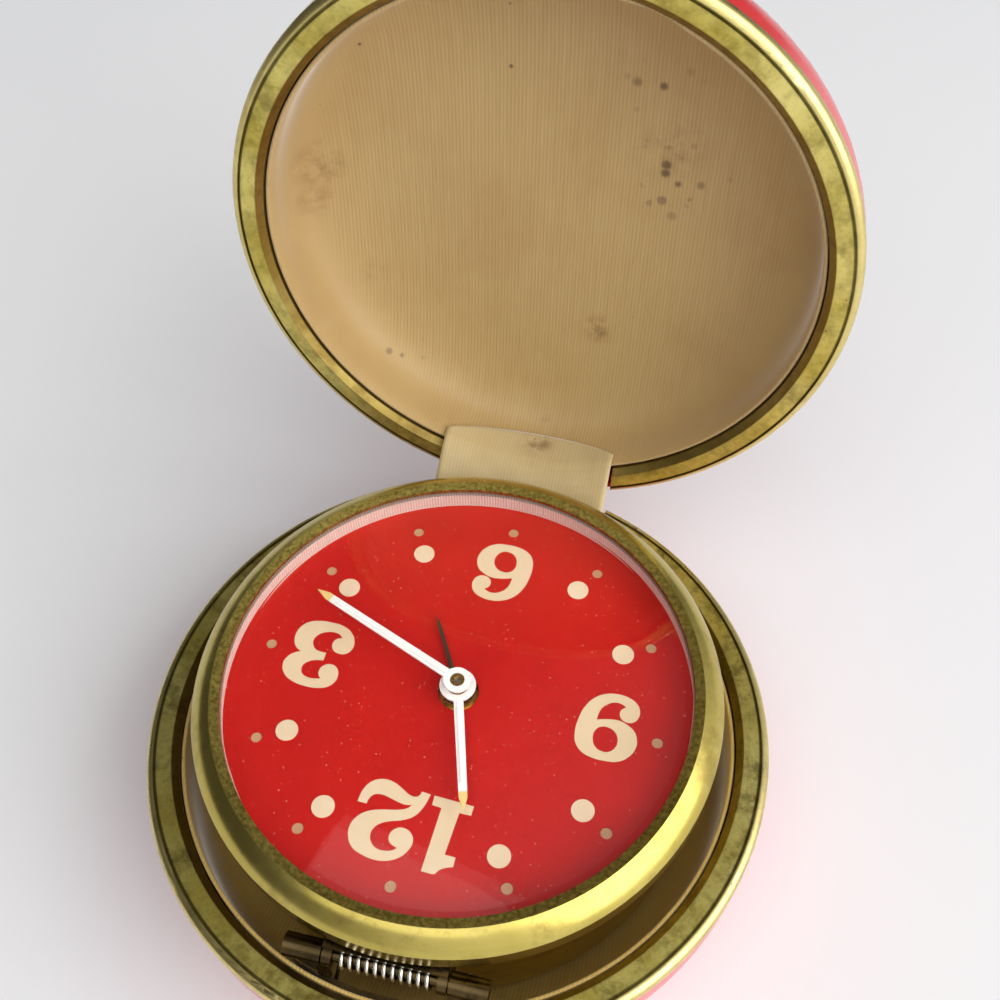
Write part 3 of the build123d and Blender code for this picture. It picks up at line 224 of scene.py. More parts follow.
def material(name, metallic=0.0, **constants):
    """New material with its constants set on the shader; an underscore stands for a space."""
    made = bpy.data.materials.new(name)
    made.use_nodes = True
    tree = Tree(made.node_tree)
    shader = made.node_tree.nodes["Principled BSDF"]
    shader.inputs["Metallic"].default_value = metallic
    for socket, value in constants.items():
        shader.inputs[socket.replace("_", " ")].default_value = value
    return made, tree, shader


def use_group(tree, shared):
    return tree.add("ShaderNodeGroup", node_tree=shared).outputs


def surface(tree, shader, base, roughness, height=None, strength=0.3, depth=0.0001):
    tree.put(base, shader.inputs["Base Color"])
    tree.put(roughness, shader.inputs["Roughness"])
    if height is not None:
        bump = tree.add("ShaderNodeBump", {"Height": height, "Strength": strength, "Distance": depth})
        tree.links.new(bump.outputs["Normal"], shader.inputs["Normal"])


def clouded(tree, age, first, second):
    """Two colours mixed in soft clouds."""
    return tree.mix(tree.remap(age["Cloud"], 0.3, 0.7), first, second)


def near(tree, place, middle, size):
    """1 close to a point, falling to 0 at a distance."""
    return tree.remap(tree.vector("DISTANCE", place, middle)["Value"], size, size * 0.25)


def red_enamel():
    made, tree, shader = material("red_enamel", Coat_Weight=0.5, Coat_Roughness=0.06)
    age = use_group(tree, paint_age)
    base = tree.mix(age["Cloud"], color(196, 26, 34), color(218, 44, 46))
    base = tree.cover(base, age["Scratch"], 0.25, color(236, 150, 140))
    rough = tree.remap(age["Cloud"], 0.3, 0.7, 0.24, 0.4)
    surface(tree, shader, base, rough, age["Peel"], 0.12, 0.00005)
    return made


def axis_distance(tree, middle, axis):
    """Distance of each point from a line through a middle."""
    place = tree.place()
    shifted = tree.vector("SUBTRACT", place, tuple(middle))["Vector"]
    crossed = tree.vector("CROSS_PRODUCT", shifted, tuple(axis))["Vector"]
    return tree.vector("LENGTH", crossed)["Value"]


def rim_brass(name, middle, axis, wear):
    """Old brass rim: mottled olive face, painted shade on the inner slope and in the groove, and a painted
    highlight on the bead.
    """
    made, tree, shader = material(name, 1.0)
    age = use_group(tree, brass_age)
    radius = axis_distance(tree, middle, axis)
    bead = tree.remap(radius, case_radius - rim_bead - 0.1 * MM, case_radius - rim_bead + 0.15 * MM)
    slope = tree.remap(radius, rim_inner + rim_slope + 0.15 * MM, rim_inner + rim_slope - 0.05 * MM)
    groove_middle = case_radius - rim_bead - rim_groove / 2
    from_groove = tree.math("ABSOLUTE", tree.math("SUBTRACT", radius, groove_middle))
    groove = tree.remap(from_groove, 0.3 * MM, 0.12 * MM)
    base = tree.mix(tree.remap(age["Cloud"], 0.35, 0.65), color(200, 182, 86), color(236, 222, 136))
    base = tree.mix(tree.remap(age["Mottle"], 0.44, 0.66, 0.0, wear), base, color(116, 100, 40))
    base = tree.cover(base, age["Blots"], wear * 0.9, color(88, 74, 28))
    # Painted highlight: the bead is painted paler brass to stand in for the light it catches.
    base = tree.cover(base, bead, 0.6, color(226, 206, 142))
    # Painted shade: the inner slope is painted dark brown for the shade beside the lining.
    base = tree.cover(base, slope, 0.75, color(112, 82, 36))
    # Painted shade: the groove line is painted dark for the shade in it.
    base = tree.cover(base, groove, 0.8, color(58, 44, 18))
    base = tree.cover(base, age["Pits"], 0.7, color(44, 34, 16))
    rough = tree.remap(age["Mottle"], 0.35, 0.65, 0.36, 0.52)
    rough = tree.math("SUBTRACT", rough, tree.math("MULTIPLY", bead, 0.12))
    height = tree.math("SUBTRACT", tree.math("MULTIPLY", age["Fine"], 0.3), age["Pits"])
    surface(tree, shader, base, rough, height, 0.25, 0.00006)
    return made


def clock_brass():
    """Polished bezel and band with turning marks, and a rough tarnished bevel next to the crystal."""
    made, tree, shader = material("clock_brass", 1.0)
    age = use_group(tree, brass_age)
    radius = axis_distance(tree, (0.0, clock_y, 0.0), (0.0, 0.0, 1.0))
    place = tree.place()
    height_up = tree.axes(place)["Z"]
    turned = tree.add("ShaderNodeCombineXYZ", {"X": radius, "Y": height_up}).outputs["Vector"]
    lines = tree.noise(turned, 9000.0, 2.0)
    inner = tree.remap(radius, bezel_face + 0.1 * MM, bezel_face - 0.15 * MM)
    base = clouded(tree, age, color(188, 168, 82), color(210, 192, 108))
    base = tree.cover(base, age["Blots"], 0.35, color(126, 92, 40))
    base = tree.cover(base, age["Pits"], 0.4, color(60, 44, 22))
    tarnish = tree.mix(tree.remap(age["Fine"], 0.36, 0.64), color(84, 74, 30), color(184, 168, 86))
    base = tree.cover(base, inner, 0.75, tarnish)
    rough = tree.remap(age["Cloud"], 0.3, 0.7, 0.18, 0.3)
    rough = tree.math("ADD", rough, tree.math("MULTIPLY", inner, 0.22))
    grit = tree.math("MULTIPLY", tree.math("MULTIPLY", inner, age["Fine"]), 1.5)
    height = tree.math("ADD", tree.math("MULTIPLY", lines, 0.4), grit)
    surface(tree, shader, base, rough, height, 0.14, 0.00006)
    return made


def plain_metal(name, light, dark, stain, rough_low, rough_high, stain_share=0.3):
    made, tree, shader = material(name, 1.0)
    age = use_group(tree, brass_age)
    base = clouded(tree, age, dark, light)
    base = tree.cover(base, age["Blots"], stain_share, stain)
    rough = tree.remap(age["Fine"], 0.3, 0.7, rough_low, rough_high)
    surface(tree, shader, base, rough, tree.math("ADD", age["Fine"], age["Scratch"]), 0.1, 0.00005)
    return made


def lining_cloth(name, dark, light, stains_and_shadows, crowds=(), ribs=0.25):
    """Old satin cloth: fine ribs, slubs along the threads, soil, stain patches and painted shadow patches
    given by the caller, and a few dark specks.
    """
    made, tree, shader = material(name, Sheen_Weight=0.8, Sheen_Roughness=0.4)
    cloth = use_group(tree, ribbed_cloth)
    place = tree.place()
    base = tree.mix(tree.remap(cloth["Tone"], 0.25, 0.75), dark, light)
    base = tree.cover(base, cloth["Soil"], 0.3, color(150, 104, 44))
    ragged = tree.remap(tree.noise(place, 420.0, 5.0, 0.7), 0.42, 0.66)
    # Each listed patch is painted in one brown: stain patches, and on the strap a painted shadow.
    for middle, size, share in stains_and_shadows:
        mask = tree.math("MULTIPLY", near(tree, place, middle, size), ragged)
        base = tree.cover(base, mask, share, color(112, 66, 18))
    specks = cloth["Specks"]
    for middle, size in crowds:
        crowd = tree.math("MULTIPLY", near(tree, place, middle, size), cloth["Crowd"])
        specks = tree.math("MAXIMUM", specks, crowd)
    base = tree.cover(base, specks, 0.75, color(64, 38, 14))
    rough = tree.remap(cloth["Tone"], 0.2, 0.8, 0.42, 0.58)
    surface(tree, shader, base, rough, cloth["Height"], ribs, 0.00007)
    return made


def dial_paint():
    made, tree, shader = material("dial_paint", Specular_IOR_Level=0.2)
    age = use_group(tree, paint_age)
    base = clouded(tree, age, color(176, 16, 10), color(190, 22, 14))
    # Pale dust specks together with tiny painted glints, laid over the red.
    dust = tree.math("MAXIMUM", age["Dust"], age["Painted_Glints"])
    base = tree.cover(base, dust, 0.45, color(238, 176, 150))
    rough = tree.remap(age["Peel"], 0.3, 0.7, 0.42, 0.55)
    surface(tree, shader, base, rough, age["Peel"], 0.05, 0.00003)
    return made


def pale_paint(name, light, dark, rough):
    made, tree, shader = material(name)
    age = use_group(tree, paint_age)
    base = clouded(tree, age, light, dark)
    base = tree.cover(base, age["Dust"], 0.4, color(150, 110, 80))
    gloss = tree.remap(age["Peel"], 0.3, 0.7, rough, rough + 0.15)
    surface(tree, shader, base, gloss, age["Peel"], 0.08, 0.00003)
    return made


def hand_paint(name, angle, length):
    """White paint with a yellowed luminous tip, measured along the hand from its hub."""
    made, tree, shader = material(name)
    age = use_group(tree, paint_age)
    place = tree.place()
    turned = math.radians(angle) + dial_turn
    shifted = tree.vector("SUBTRACT", place, (0.0, clock_y, 0.0))["Vector"]
    outward = (-math.sin(turned), -math.cos(turned), 0.0)
    along = tree.vector("DOT_PRODUCT", shifted, outward)["Value"]
    tip = tree.remap(along, length - 2.5 * MM, length - 2.3 * MM)
    base = clouded(tree, age, color(232, 230, 226), color(244, 242, 238))
    base = tree.mix(tip, base, color(228, 196, 122))
    base = tree.cover(base, age["Scratch"], 0.25, color(160, 140, 116))
    surface(tree, shader, base, tree.remap(age["Peel"], 0.3, 0.7, 0.34, 0.5), age["Peel"], 0.08, 0.00003)
    return made


def ring_ribs():
    """Pale ring between dial and crystal, with fine upright ribs."""
    made, tree, shader = material("ring_ribs")
    age = use_group(tree, paint_age)
    place = tree.place()
    axes = tree.axes(place)
    angle = tree.math("ARCTAN2", tree.math("SUBTRACT", axes["Y"], clock_y), axes["X"])
    rib = tree.remap(tree.math("SINE", tree.math("MULTIPLY", angle, 480.0)), -1.0, 1.0)
    base = tree.mix(rib, color(204, 178, 166), color(230, 212, 202))
    base = tree.cover(base, age["Cloud"], 0.3, color(226, 190, 176))
    surface(tree, shader, base, tree.remap(rib, 0.0, 1.0, 0.3, 0.45), rib, 0.6, 0.0001)
    return made


def lume_paste():
    """Luminous filling: cream dots, with painted shade as a browner middle where it lies down in a hole."""
    made, tree, shader = material("lume_paste")
    age = use_group(tree, paint_age)
    place = tree.place()
    low = tree.remap(tree.axes(place)["Z"], dial_top, dial_top - 0.05 * MM)
    base = clouded(tree, age, color(218, 190, 156), color(228, 204, 172))
    # Painted shade: the paste below the dial face, in the middle of each hole, is painted browner.
    base = tree.cover(base, low, 0.75, color(170, 112, 66))
    surface(tree, shader, base, tree.remap(age["Peel"], 0.3, 0.7, 0.55, 0.7), age["Peel"], 0.15, 0.00004)
    return made


def crystal_acrylic():
    """Clear domed acrylic that lets light through to the dial, with fine scratches and dust."""
    made, tree, shader = material("crystal_acrylic", Transmission_Weight=1.0, IOR=1.28)
    age = use_group(tree, paint_age)
    base = tree.mix(tree.math("MULTIPLY", age["Dust"], 0.15), (0.98, 0.985, 0.985, 1.0), color(220, 210, 200))
    rough = tree.remap(age["Scratch"], 0.0, 1.0, 0.03, 0.12)
    surface(tree, shader, base, rough)
    clear = tree.add("ShaderNodeBsdfTransparent")
    path = tree.add("ShaderNodeLightPath")
    through = tree.add("ShaderNodeMixShader", {"Fac": path.outputs["Is Shadow Ray"]})
    tree.links.new(shader.outputs["BSDF"], through.inputs[1])
    tree.links.new(clear.outputs["BSDF"], through.inputs[2])
    tree.links.new(through.outputs["Shader"], made.node_tree.nodes["Material Output"].inputs["Surface"])
    return made


def lid_spot(x, height, depth=12.6):
    """Point on the lid lining, from its middle across and up, and down into the lid."""
    return tuple(lid_centre + across * x * MM - lid_rear * height * MM + lid_into * depth * MM)


lid_stains = (
    (lid_spot(-31.1, 4.0, 9.5), 4.4 * MM, 0.6),
    (lid_spot(-32.1, -1.2, 9.0), 3.2 * MM, 0.55),
    (lid_spot(7.3, -18.1), 3.0 * MM, 0.7),
    (lid_spot(14.6, 11.6), 6.0 * MM, 0.3),
    (lid_spot(-25.2, -12.9, 10.9), 2.6 * MM, 0.3),
    (lid_spot(1.0, -32.6, 8.7), 1.7 * MM, 0.8),
)
lid_crowds = (
    (lid_spot(16.0, 8.0), 8.5 * MM),
    (lid_spot(12.3, 19.5, 12.1), 6.0 * MM),
    (lid_spot(-21.0, -24.8, 8.7), 4.6 * MM),
)
red = red_enamel()
base_rim = rim_brass("base_rim_brass", base_centre, base_into, 0.7)
lid_rim = rim_brass("lid_rim_brass", lid_centre, lid_into, 0.4)
case_brass = clock_brass()
bronze = plain_metal(
    "hinge_bronze", color(108, 90, 58), color(62, 50, 32), color(30, 24, 15), 0.22, 0.38, 0.7
)
steel_wire = plain_metal(
    "spring_steel", color(232, 228, 218), color(206, 200, 188), color(140, 120, 96), 0.16, 0.28
)
works_brass = plain_metal(
    "works_brass", color(222, 184, 104), color(198, 158, 82), color(140, 100, 50), 0.22, 0.36
)
works_steel = plain_metal(
    "works_steel", color(196, 196, 194), color(158, 158, 158), color(110, 96, 80), 0.24, 0.38
)
node_coats = (
    (red, ("base_shell", "lid_shell")),
    (base_rim, ("base_rim",)),
    (lid_rim, ("lid_rim",)),
    (case_brass, ("case_band", "bezel", "back_cover")),
    (
        bronze,
        (
            "lid_hinge_base_leaf",
            "lid_hinge_lid_leaf",
            "lid_hinge_pin",
            "clock_hinge_bracket",
            "clock_hinge_leaf",
            "clock_hinge_pin",
        ),
    ),
    (
        steel_wire,
        ("clock_hinge_spring", "going_mainspring", "alarm_mainspring", "hairspring"),
    ),
    (crystal_acrylic(), ("crystal",)),
    (dial_paint(), ("dial",)),
    (ring_ribs(), ("dial_ring",)),
    (lume_paste(), ("lume_dots",)),
    (hand_paint("minute_hand_paint", 109.5, 23.0 * MM), ("minute_hand",)),
    (hand_paint("hour_hand_paint", 340.0, 16.5 * MM), ("hour_hand",)),
    (pale_paint("alarm_hand_paint", color(66, 44, 26), color(48, 30, 18), 0.35), ("alarm_hand",)),
    (
        works_steel,
        (
            "pillars",
            "movement_screws",
            "case_posts",
            "case_screws",
            "going_arbor",
            "alarm_arbor",
            "centre_arbor",
            "alarm_set_arbor",
            "pallet_lever",
            "alarm_hammer",
            "regulator_lever",
        ),
    ),
)


def dress(names, coat):
    for name in names:
        coats = nodes[name].data.materials
        coats.clear()
        coats.append(coat)


for coat, names in node_coats:
    dress(names, coat)
dressed = {name for coat, names in node_coats for name in names}
soft_nodes = {"base_lining", "lid_lining", "hinge_strap"}
dress(sorted(set(nodes) - dressed - soft_nodes), works_brass)


def link(name, data):
    """New object with its data, in the scene."""
    made = bpy.data.objects.new(name, data)
    bpy.context.scene.collection.objects.link(made)
    return made


def mesh_piece(name, points, faces, coat, smooth=True):
    """New object made of points and faces, with one material."""
    mesh = bpy.data.meshes.new(name)
    mesh.from_pydata([tuple(p) for p in points], [], faces)
    mesh.validate()
    mesh.materials.append(coat)
    for face in mesh.polygons:
        face.use_smooth = smooth
    return link(name, mesh)


def grid_faces(rows, columns, closed_rows, closed_columns):
    """Four-sided faces over rows of points, going round where a direction is closed."""
    faces = []
    for r in range(rows if closed_rows else rows - 1):
        for c in range(columns if closed_columns else columns - 1):
            r2, c2 = (r + 1) % rows, (c + 1) % columns
            faces.append((r * columns + c, r * columns + c2, r2 * columns + c2, r2 * columns + c))
    return faces


def padded_section(depth, power):
    """Inside of a padded lining as (radius, depth): a soft dish from the middle out to the wall."""
    top = lining_edge + lining_lip
    reach, rise = lining_radius - lining_wall, depth - lining_wall - top
    share = 2 / power
    section = []
    for angle in np.linspace(math.pi / 2, 0, 40)[1:]:
        section.append((reach * math.cos(angle) ** share, top + rise * math.sin(angle) ** share))
    return section


def lining_profile(depth, corner, power):
    """Section of a lining as (radius, depth): outside down from the edge, then back up the inside."""
    steps = 14
    flat = lining_radius - corner
    outer = [(lining_radius, lining_edge + lining_lip)]
    outer += [
        (flat + corner * math.cos(a), depth - corner + corner * math.sin(a))
        for a in np.linspace(0, math.pi / 2, steps)
    ]
    outer += [(flat * s, depth) for s in (0.75, 0.5, 0.25, 0.1)]
    inner = padded_section(depth, power)
    inner += [
        (lining_radius - lining_wall + lining_roll, lining_edge),
        (lining_radius - lining_roll, lining_edge),
    ]
    return outer, inner


def padding(place):
    """How far the padded cloth stands up at a place."""
    return (noise.noise(place * wave_scale) + 1) * wave_height


def lining(name, centre, rear, into, depth, corner, power, coat, dent=0.0):
    """Cloth-faced cup: padded dish, rolled edge, small puckers, and dents for the clock hinge's barrels."""
    outer, inner = lining_profile(depth, corner, power)
    section = outer + inner
    columns, last = len(section), len(outer) - 1
    widest = lining_radius - lining_least_wall
    points = []
    for turn in range(lining_turns):
        angle = 2 * math.pi * turn / lining_turns
        radial = rear * math.cos(angle) + across * math.sin(angle)
        pressed = dent * math.exp(-(((abs(angle - math.pi) - dent_angle) / dent_spread) ** 2))
        edge_noise = noise.noise(Vector((math.cos(angle), math.sin(angle), 0)) * pucker_scale)
        for number, (radius, down) in enumerate(section):
            if number > last and radius < widest:
                fade = max(0.0, 1 - (down - lining_edge) / dent_reach) * (radius / lining_radius) ** 8
                radius = min(radius + pressed * fade, widest)
            place = centre + radial * radius + into * down
            if number > last:
                wall = max(0.0, 1 - abs(down - lining_edge) / (depth * 0.7)) * (radius / lining_radius) ** 4
                pucker = edge_noise * pucker_height * wall
                place = place - radial * pucker - into * (padding(place) * (1 - wall))
            points.append(place)
    faces = [face for face in grid_faces(lining_turns, columns, True, True) if face[0] % columns != last]
    under = centre + into * depth
    over = centre + into * (depth - lining_wall)
    over = over - into * padding(over)
    for turn in range(lining_turns):
        here, there = turn * columns + last, (turn + 1) % lining_turns * columns + last
        faces.append((here, len(points), there))
        faces.append((len(points) + 1, here + 1, there + 1))
    return mesh_piece(name, points + [under, over], faces, coat)


cloth_lid = lining_cloth(
    "lid_lining_cloth", color(176, 145, 91), color(190, 161, 108), lid_stains, lid_crowds
)
base_stains = (((0.02, -0.02, 0.008), 5 * MM, 0.4),)
# Painted light: the base lining is the same cloth as the lid's, painted lighter so that it reads brighter
# inside the shaded base.
cloth_base_painted_lighter = lining_cloth("base_lining_cloth", color(204, 166, 84), color(220, 188, 108), base_stains)
lid_cup = lining(
    "lid_lining_cloth_cup",
    lid_centre,
    lid_rear,
    lid_into,
    depth=13.8 * MM,
    corner=7.2 * MM,
    power=4.4,
    coat=cloth_lid,
    dent=0.45 * MM,
)
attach(lid_cup, "lid")
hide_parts("lid_lining")
base_cup = lining(
    "base_lining_cloth_cup",
    base_centre,
    base_rear,
    base_into,
    depth=18.8 * MM,
    corner=11.2 * MM,
    power=5.0,
    coat=cloth_base_painted_lighter,
)
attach(base_cup, "base")
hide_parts("base_lining")


def strap_path():
    """Runs of the strap's middle line as (piece, share along it): base tongue, span, lid tongue."""
    runs = [("base", share) for share in np.linspace(0, 1, 8)]
    runs += [("span", share) for share in np.linspace(0, 1, 26)[1:]]
    runs += [("lid", share) for share in np.linspace(0, 1, 10)[1:]]
    return runs


def strap_point(run, side):
    """Point of the strap's middle surface; side runs from -1 to 1 across the width."""
    kind, share = run
    spread = side * math.asin(strap_half / strap_radius)
    base_wall = base_centre + (base_rear * math.cos(spread) + across * math.sin(spread)) * strap_radius
    lid_wall = lid_centre + (lid_rear * math.cos(spread) + across * math.sin(spread)) * strap_radius
    if kind == "base":
        return base_wall + base_into * (strap_base_depth + (strap_turn - strap_base_depth) * share)
    if kind == "lid":
        end_radius = (strap_half**2 + strap_lid_curve**2) / (2 * strap_lid_curve)
        end_depth = strap_lid_depth - end_radius + math.sqrt(end_radius**2 - (side * strap_half) ** 2)
        return lid_wall + lid_into * (strap_turn + (end_depth - strap_turn) * share)
    base_edge = base_wall + base_into * strap_turn
    lid_edge = lid_wall + lid_into * strap_turn
    leave = base_edge - base_into * strap_ease
    arrive = lid_edge - lid_into * strap_ease
    rest = 1 - share
    return (
        base_edge * rest**3
        + leave * 3 * rest**2 * share
        + arrive * 3 * rest * share**2
        + lid_edge * share**3
    )


def hinge_cloth():
    """Cloth strap over the lid hinge, with soft creases where it bends and thinner side edges."""
    runs = strap_path()
    sides = np.linspace(-1, 1, 41)
    middle = [[strap_point(run, side) for side in sides] for run in runs]
    rows, columns = len(runs), len(sides)
    front, back = [], []
    for r in range(rows):
        for c in range(columns):
            here = middle[r][c]
            along = middle[min(r + 1, rows - 1)][c] - middle[max(r - 1, 0)][c]
            over = middle[r][min(c + 1, columns - 1)] - middle[r][max(c - 1, 0)]
            normal = over.cross(along).normalized()
            free = runs[r][1] * (1 - runs[r][1]) * 4 if runs[r][0] == "span" else 0.0
            crease = noise.noise(Vector((sides[c] * 3.1, r * 0.42, 2.0))) * crease_height * free
            crease += math.sin(sides[c] * 9 + r * 0.35) * ripple_height * free
            toward_edge = max(0.0, abs(sides[c]) - thin_from) / (1 - thin_from)
            half = strap_thickness / 2 * (1 - thin_share * toward_edge)
            front.append(here + normal * (half + crease))
            back.append(here + normal * (crease - half))
    size = rows * columns
    faces = grid_faces(rows, columns, False, False)
    faces += [tuple(size + i for i in reversed(face)) for face in faces]
    border = list(range(columns))
    border += [r * columns + columns - 1 for r in range(1, rows)]
    border += [(rows - 1) * columns + c for c in range(columns - 2, -1, -1)]
    border += [r * columns for r in range(rows - 2, 0, -1)]
    for number, first in enumerate(border):
        second = border[(number + 1) % len(border)]
        faces.append((second, first, size + first, size + second))
    return mesh_piece("hinge_strap_cloth", front + back, faces, strap_cloth)


# Painted shadow: darker patches on the strap near the top of its curved end, where it lies on the lid lining.
strap_painted_shadow = (
    (lid_spot(0.6, -34.6, 4.6), 3.6 * MM, 0.6),
    (lid_spot(1.2, -34.6, 5.0), 2.4 * MM, 1.0),
)
strap_cloth = lining_cloth("strap_cloth", color(194, 172, 122), color(204, 184, 136), strap_painted_shadow, ribs=0.04)
strap = hinge_cloth()
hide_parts("hinge_strap")
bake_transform(strap)

# Printed numbers: outlines in dial millimetres, x to the right and y up; a third value of 0 is a corner
one_outline = (
    (-2.76, 22.98, 0), (-2.70, 15.18, 0), (-1.50, 15.12, 0), (-1.44, 13.92, 0), (-6.36, 13.92, 0),
    (-6.36, 15.12, 0), (-4.92, 15.18, 0), (-4.80, 20.40, 0), (-6.12, 20.40, 0), (-6.18, 21.54, 0),
    (-5.28, 21.90, 1), (-4.68, 22.38, 1), (-4.38, 22.86, 1), (-4.08, 22.98, 0),
)
two_outline = (
    (0.78, 21.18, 0), (1.20, 21.60, 1), (2.10, 21.90, 1), (3.00, 21.90, 1), (3.78, 21.48, 1),
    (4.32, 20.52, 1), (4.20, 19.68, 1), (3.72, 19.02, 1), (2.70, 18.42, 1), (1.20, 17.82, 1),
    (0.00, 16.92, 1), (-0.60, 15.72, 1), (-0.84, 14.70, 1), (-0.96, 13.92, 0), (0.18, 13.86, 0),
    (0.30, 14.40, 1), (0.72, 14.70, 1), (1.50, 14.64, 1), (2.40, 14.22, 1), (3.48, 13.74, 1),
    (4.62, 13.56, 1), (5.70, 13.80, 1), (6.60, 14.52, 1), (7.08, 15.60, 1), (7.20, 17.10, 0),
    (6.06, 17.10, 0), (6.00, 16.50, 1), (5.64, 15.84, 1), (4.80, 15.54, 1), (3.60, 15.66, 1),
    (2.40, 15.90, 1), (1.50, 15.96, 1), (0.78, 15.78, 0), (1.20, 16.32, 1), (2.40, 16.86, 1),
    (4.20, 17.34, 1), (5.70, 18.00, 1), (6.60, 18.90, 1), (7.02, 20.22, 1), (6.66, 21.60, 1),
    (5.82, 22.56, 1), (4.50, 23.04, 1), (3.00, 23.22, 1), (1.50, 22.98, 1), (0.18, 22.20, 1),
    (-0.54, 21.18, 1), (-0.78, 20.10, 1), (-0.36, 19.20, 1), (0.72, 18.72, 1), (1.68, 19.02, 1),
    (2.16, 19.92, 1), (1.92, 20.70, 1), (1.32, 21.06, 1),
)
three_outline = (
    (17.58, 3.00, 0), (18.00, 2.58, 1), (18.18, 1.92, 1), (17.82, 1.08, 1), (16.92, 0.72, 1),
    (16.02, 1.08, 1), (15.54, 2.10, 1), (15.72, 3.18, 1), (16.50, 4.02, 1), (17.70, 4.44, 1),
    (19.20, 4.56, 1), (21.00, 4.32, 1), (22.32, 3.60, 1), (23.04, 2.28, 1), (22.80, 1.08, 1),
    (22.08, 0.30, 1), (21.48, 0.00, 0), (22.32, -0.42, 1), (22.92, -1.32, 1), (23.10, -2.40, 1),
    (22.80, -3.60, 1), (21.96, -4.50, 1), (20.70, -4.98, 1), (19.20, -5.16, 1), (17.40, -5.04, 1),
    (16.08, -4.38, 1), (15.30, -3.30, 1), (15.18, -2.10, 1), (15.72, -1.26, 1), (16.68, -1.02, 1),
    (17.52, -1.32, 1), (17.94, -2.22, 1), (17.64, -3.00, 1), (16.98, -3.30, 0), (17.52, -3.72, 1),
    (18.30, -3.84, 1), (19.32, -3.60, 1), (20.16, -3.00, 1), (20.52, -2.10, 1), (20.28, -1.32, 1),
    (19.68, -0.78, 1), (18.90, -0.66, 1), (18.24, -0.66, 0), (18.18, 0.48, 0), (19.08, 0.66, 1),
    (19.92, 1.08, 1), (20.46, 1.80, 1), (20.40, 2.52, 1), (19.98, 3.06, 1), (19.20, 3.30, 1),
    (18.30, 3.24, 1),
)
six_outline = (
    (1.32, -15.72, 0), (0.84, -16.20, 1), (0.72, -16.80, 1), (1.08, -17.46, 1), (1.92, -17.76, 1),
    (2.70, -17.46, 1), (3.12, -16.68, 1), (3.00, -15.60, 1), (2.40, -14.82, 1), (1.32, -14.34, 1),
    (0.00, -14.22, 1), (-1.50, -14.58, 1), (-2.88, -15.60, 1), (-3.72, -17.10, 1), (-4.08, -18.90, 1),
    (-4.08, -20.70, 1), (-3.60, -22.20, 1), (-2.70, -23.04, 1), (-1.32, -23.46, 1), (0.30, -23.46, 1),
    (1.80, -23.16, 1), (3.00, -22.20, 1), (3.60, -20.82, 1), (3.54, -19.80, 1), (3.00, -18.72, 1),
    (1.98, -18.06, 1), (0.90, -17.76, 1), (-0.30, -17.88, 1), (-1.20, -18.12, 1), (-1.86, -18.36, 0),
    (-1.80, -17.40, 1), (-1.50, -16.50, 1), (-0.90, -15.84, 1), (0.00, -15.42, 1), (0.72, -15.48, 1),
)
six_counter = (
    (-0.24, -19.02, 1), (0.72, -19.44, 1), (1.26, -20.40, 1), (1.14, -21.48, 1), (0.48, -22.20, 1),
    (-0.30, -22.32, 1), (-1.20, -21.96, 1), (-1.74, -21.00, 1), (-1.74, -19.92, 1), (-1.20, -19.20, 1),
)


def turned_about(outline, middle, place):
    """The same outline upside down, moved from one middle to another."""
    return tuple((place[0] - x + middle[0], place[1] - y + middle[1], smooth) for x, y, smooth in outline)


six_middle = (-0.24, -18.87)
nine_middle = (-19.35, -0.54)
dial_right = Vector((-math.cos(dial_turn), math.sin(dial_turn), 0))
dial_up = Vector((-math.sin(dial_turn), -math.cos(dial_turn), 0))
print_frame = Matrix.Identity(4)
for axis, direction in enumerate((dial_right, dial_up, Vector((0, 0, 1)))):
    for row in range(3):
        print_frame[row][axis] = direction[row]
print_lift, print_half = 0.015 * MM, 0.01 * MM
print_frame.translation = Vector((0, clock_y, dial_top + print_lift))


def printed_number(name, outlines, coat):
    """Flat filled outline, as thin as a coat of print, lying on the dial."""
    curve = bpy.data.curves.new(name + "_outline", "CURVE")
    curve.dimensions = "2D"
    curve.fill_mode = "BOTH"
    curve.extrude = print_half
    curve.resolution_u = 6
    for outline in outlines:
        spline = curve.splines.new("BEZIER")
        spline.bezier_points.add(len(outline) - 1)
        spline.use_cyclic_u = True
        for point, (x, y, smooth) in zip(spline.bezier_points, outline):
            point.co = (x * MM, y * MM, 0)
            point.handle_left_type = point.handle_right_type = "AUTO" if smooth else "VECTOR"
    drawn = link(name + "_drawn", curve)
    bpy.context.view_layer.update()
    mesh = bpy.data.meshes.new_from_object(drawn.evaluated_get(bpy.context.evaluated_depsgraph_get()))
    bpy.data.objects.remove(drawn)
    mesh.transform(print_frame)
    mesh.materials.clear()
    mesh.materials.append(coat)
    mesh.name = name
    piece = link(name, mesh)
    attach(piece, "clock")


print_coat = pale_paint("number_print", color(216, 190, 152), color(224, 200, 166), 0.5)
nine_outlines = [turned_about(outline, six_middle, nine_middle) for outline in (six_outline, six_counter)]
for number, outlines in (
    (1, (one_outline,)),
    (2, (two_outline,)),
    (3, (three_outline,)),
    (6, (six_outline, six_counter)),
    (9, nine_outlines),
):
    printed_number(f"dial_number_{number}", outlines, print_coat)


# Stage, light and camera
def table_top():
    made, tree, shader = material("table_paper")
    place = tree.place()
    grain = tree.noise(place, 900.0, 2.0)
    base = tree.mix(tree.noise(place, 6.0, 2.0), color(238, 239, 241), color(242, 242, 243))
    surface(tree, shader, base, tree.remap(grain, 0.3, 0.7, 0.55, 0.65), grain, 0.02, 0.00005)
    return made


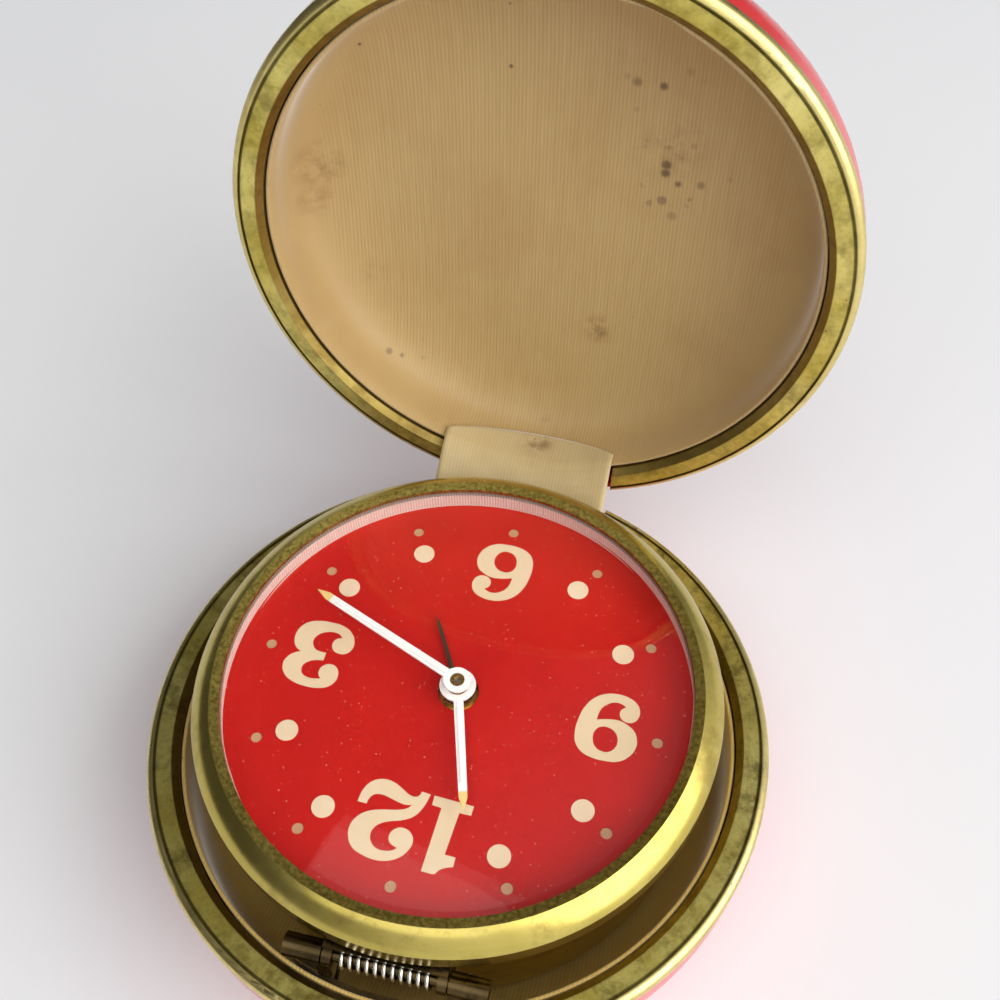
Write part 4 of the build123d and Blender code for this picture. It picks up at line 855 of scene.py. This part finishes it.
floor_half = 3.0
floor = mesh_piece(
    "table",
    [(x * floor_half, y * floor_half, 0) for x, y in ((-1, -1), (1, -1), (1, 1), (-1, 1))],
    ((0, 1, 2, 3),),
    table_top(),
    smooth=False,
)

world = bpy.data.worlds.new("studio")
world.use_nodes = True
bpy.context.scene.world = world
sky = Tree(world.node_tree)
background = world.node_tree.nodes["Background"]
direction = sky.add("ShaderNodeTexCoord").outputs["Generated"]
bright_side = (0.85, -0.5, 0.1)
toward = sky.vector("DOT_PRODUCT", direction, bright_side)["Value"]
dim, bright = (0.09, 0.09, 0.09, 1.0), (1.1, 1.1, 1.1, 1.0)
sky.put(sky.mix(sky.remap(toward, -0.2, 0.9), dim, bright), background.inputs["Color"])
light_aim = Vector((0.0, 0.02, 0.03))


def softbox(name, place, size, power):
    """Square soft light, turned to the clock."""
    light = bpy.data.lights.new(name, "AREA")
    light.shape = "RECTANGLE"
    light.size = light.size_y = size
    light.energy = power
    lamp = link(name, light)
    lamp.location = place
    lamp.rotation_euler = (light_aim - Vector(place)).to_track_quat("-Z", "Y").to_euler()


softbox("window", (1.1, -0.3, 0.74), 1.45, 17.2)
softbox("ceiling", (-0.1, -0.5, 1.0), 0.9, 3.0)

# Camera fitted to the photograph
camera_data = bpy.data.cameras.new("camera")
camera_data.lens = 40.97
camera_data.sensor_width = 36.0
camera_data.clip_start = 0.005
camera = link("camera", camera_data)
azimuth, elevation, roll = math.radians(14.38), math.radians(52.73), math.radians(-1.36)
back = Vector(
    (
        math.sin(azimuth) * math.cos(elevation),
        -math.cos(azimuth) * math.cos(elevation),
        math.sin(elevation),
    )
)
level = (-back).cross(Vector((0, 0, 1))).normalized()
upright = level.cross(-back)
camera_x = level * math.cos(roll) + upright * math.sin(roll)
camera_y = upright * math.cos(roll) - level * math.sin(roll)
placing = Matrix((camera_x, camera_y, back)).transposed().to_4x4()
placing.translation = Vector((22.6, -63.37, 154.42)) * MM
camera.matrix_world = placing
bpy.context.scene.camera = camera
bpy.context.scene.view_settings.view_transform = "Standard"
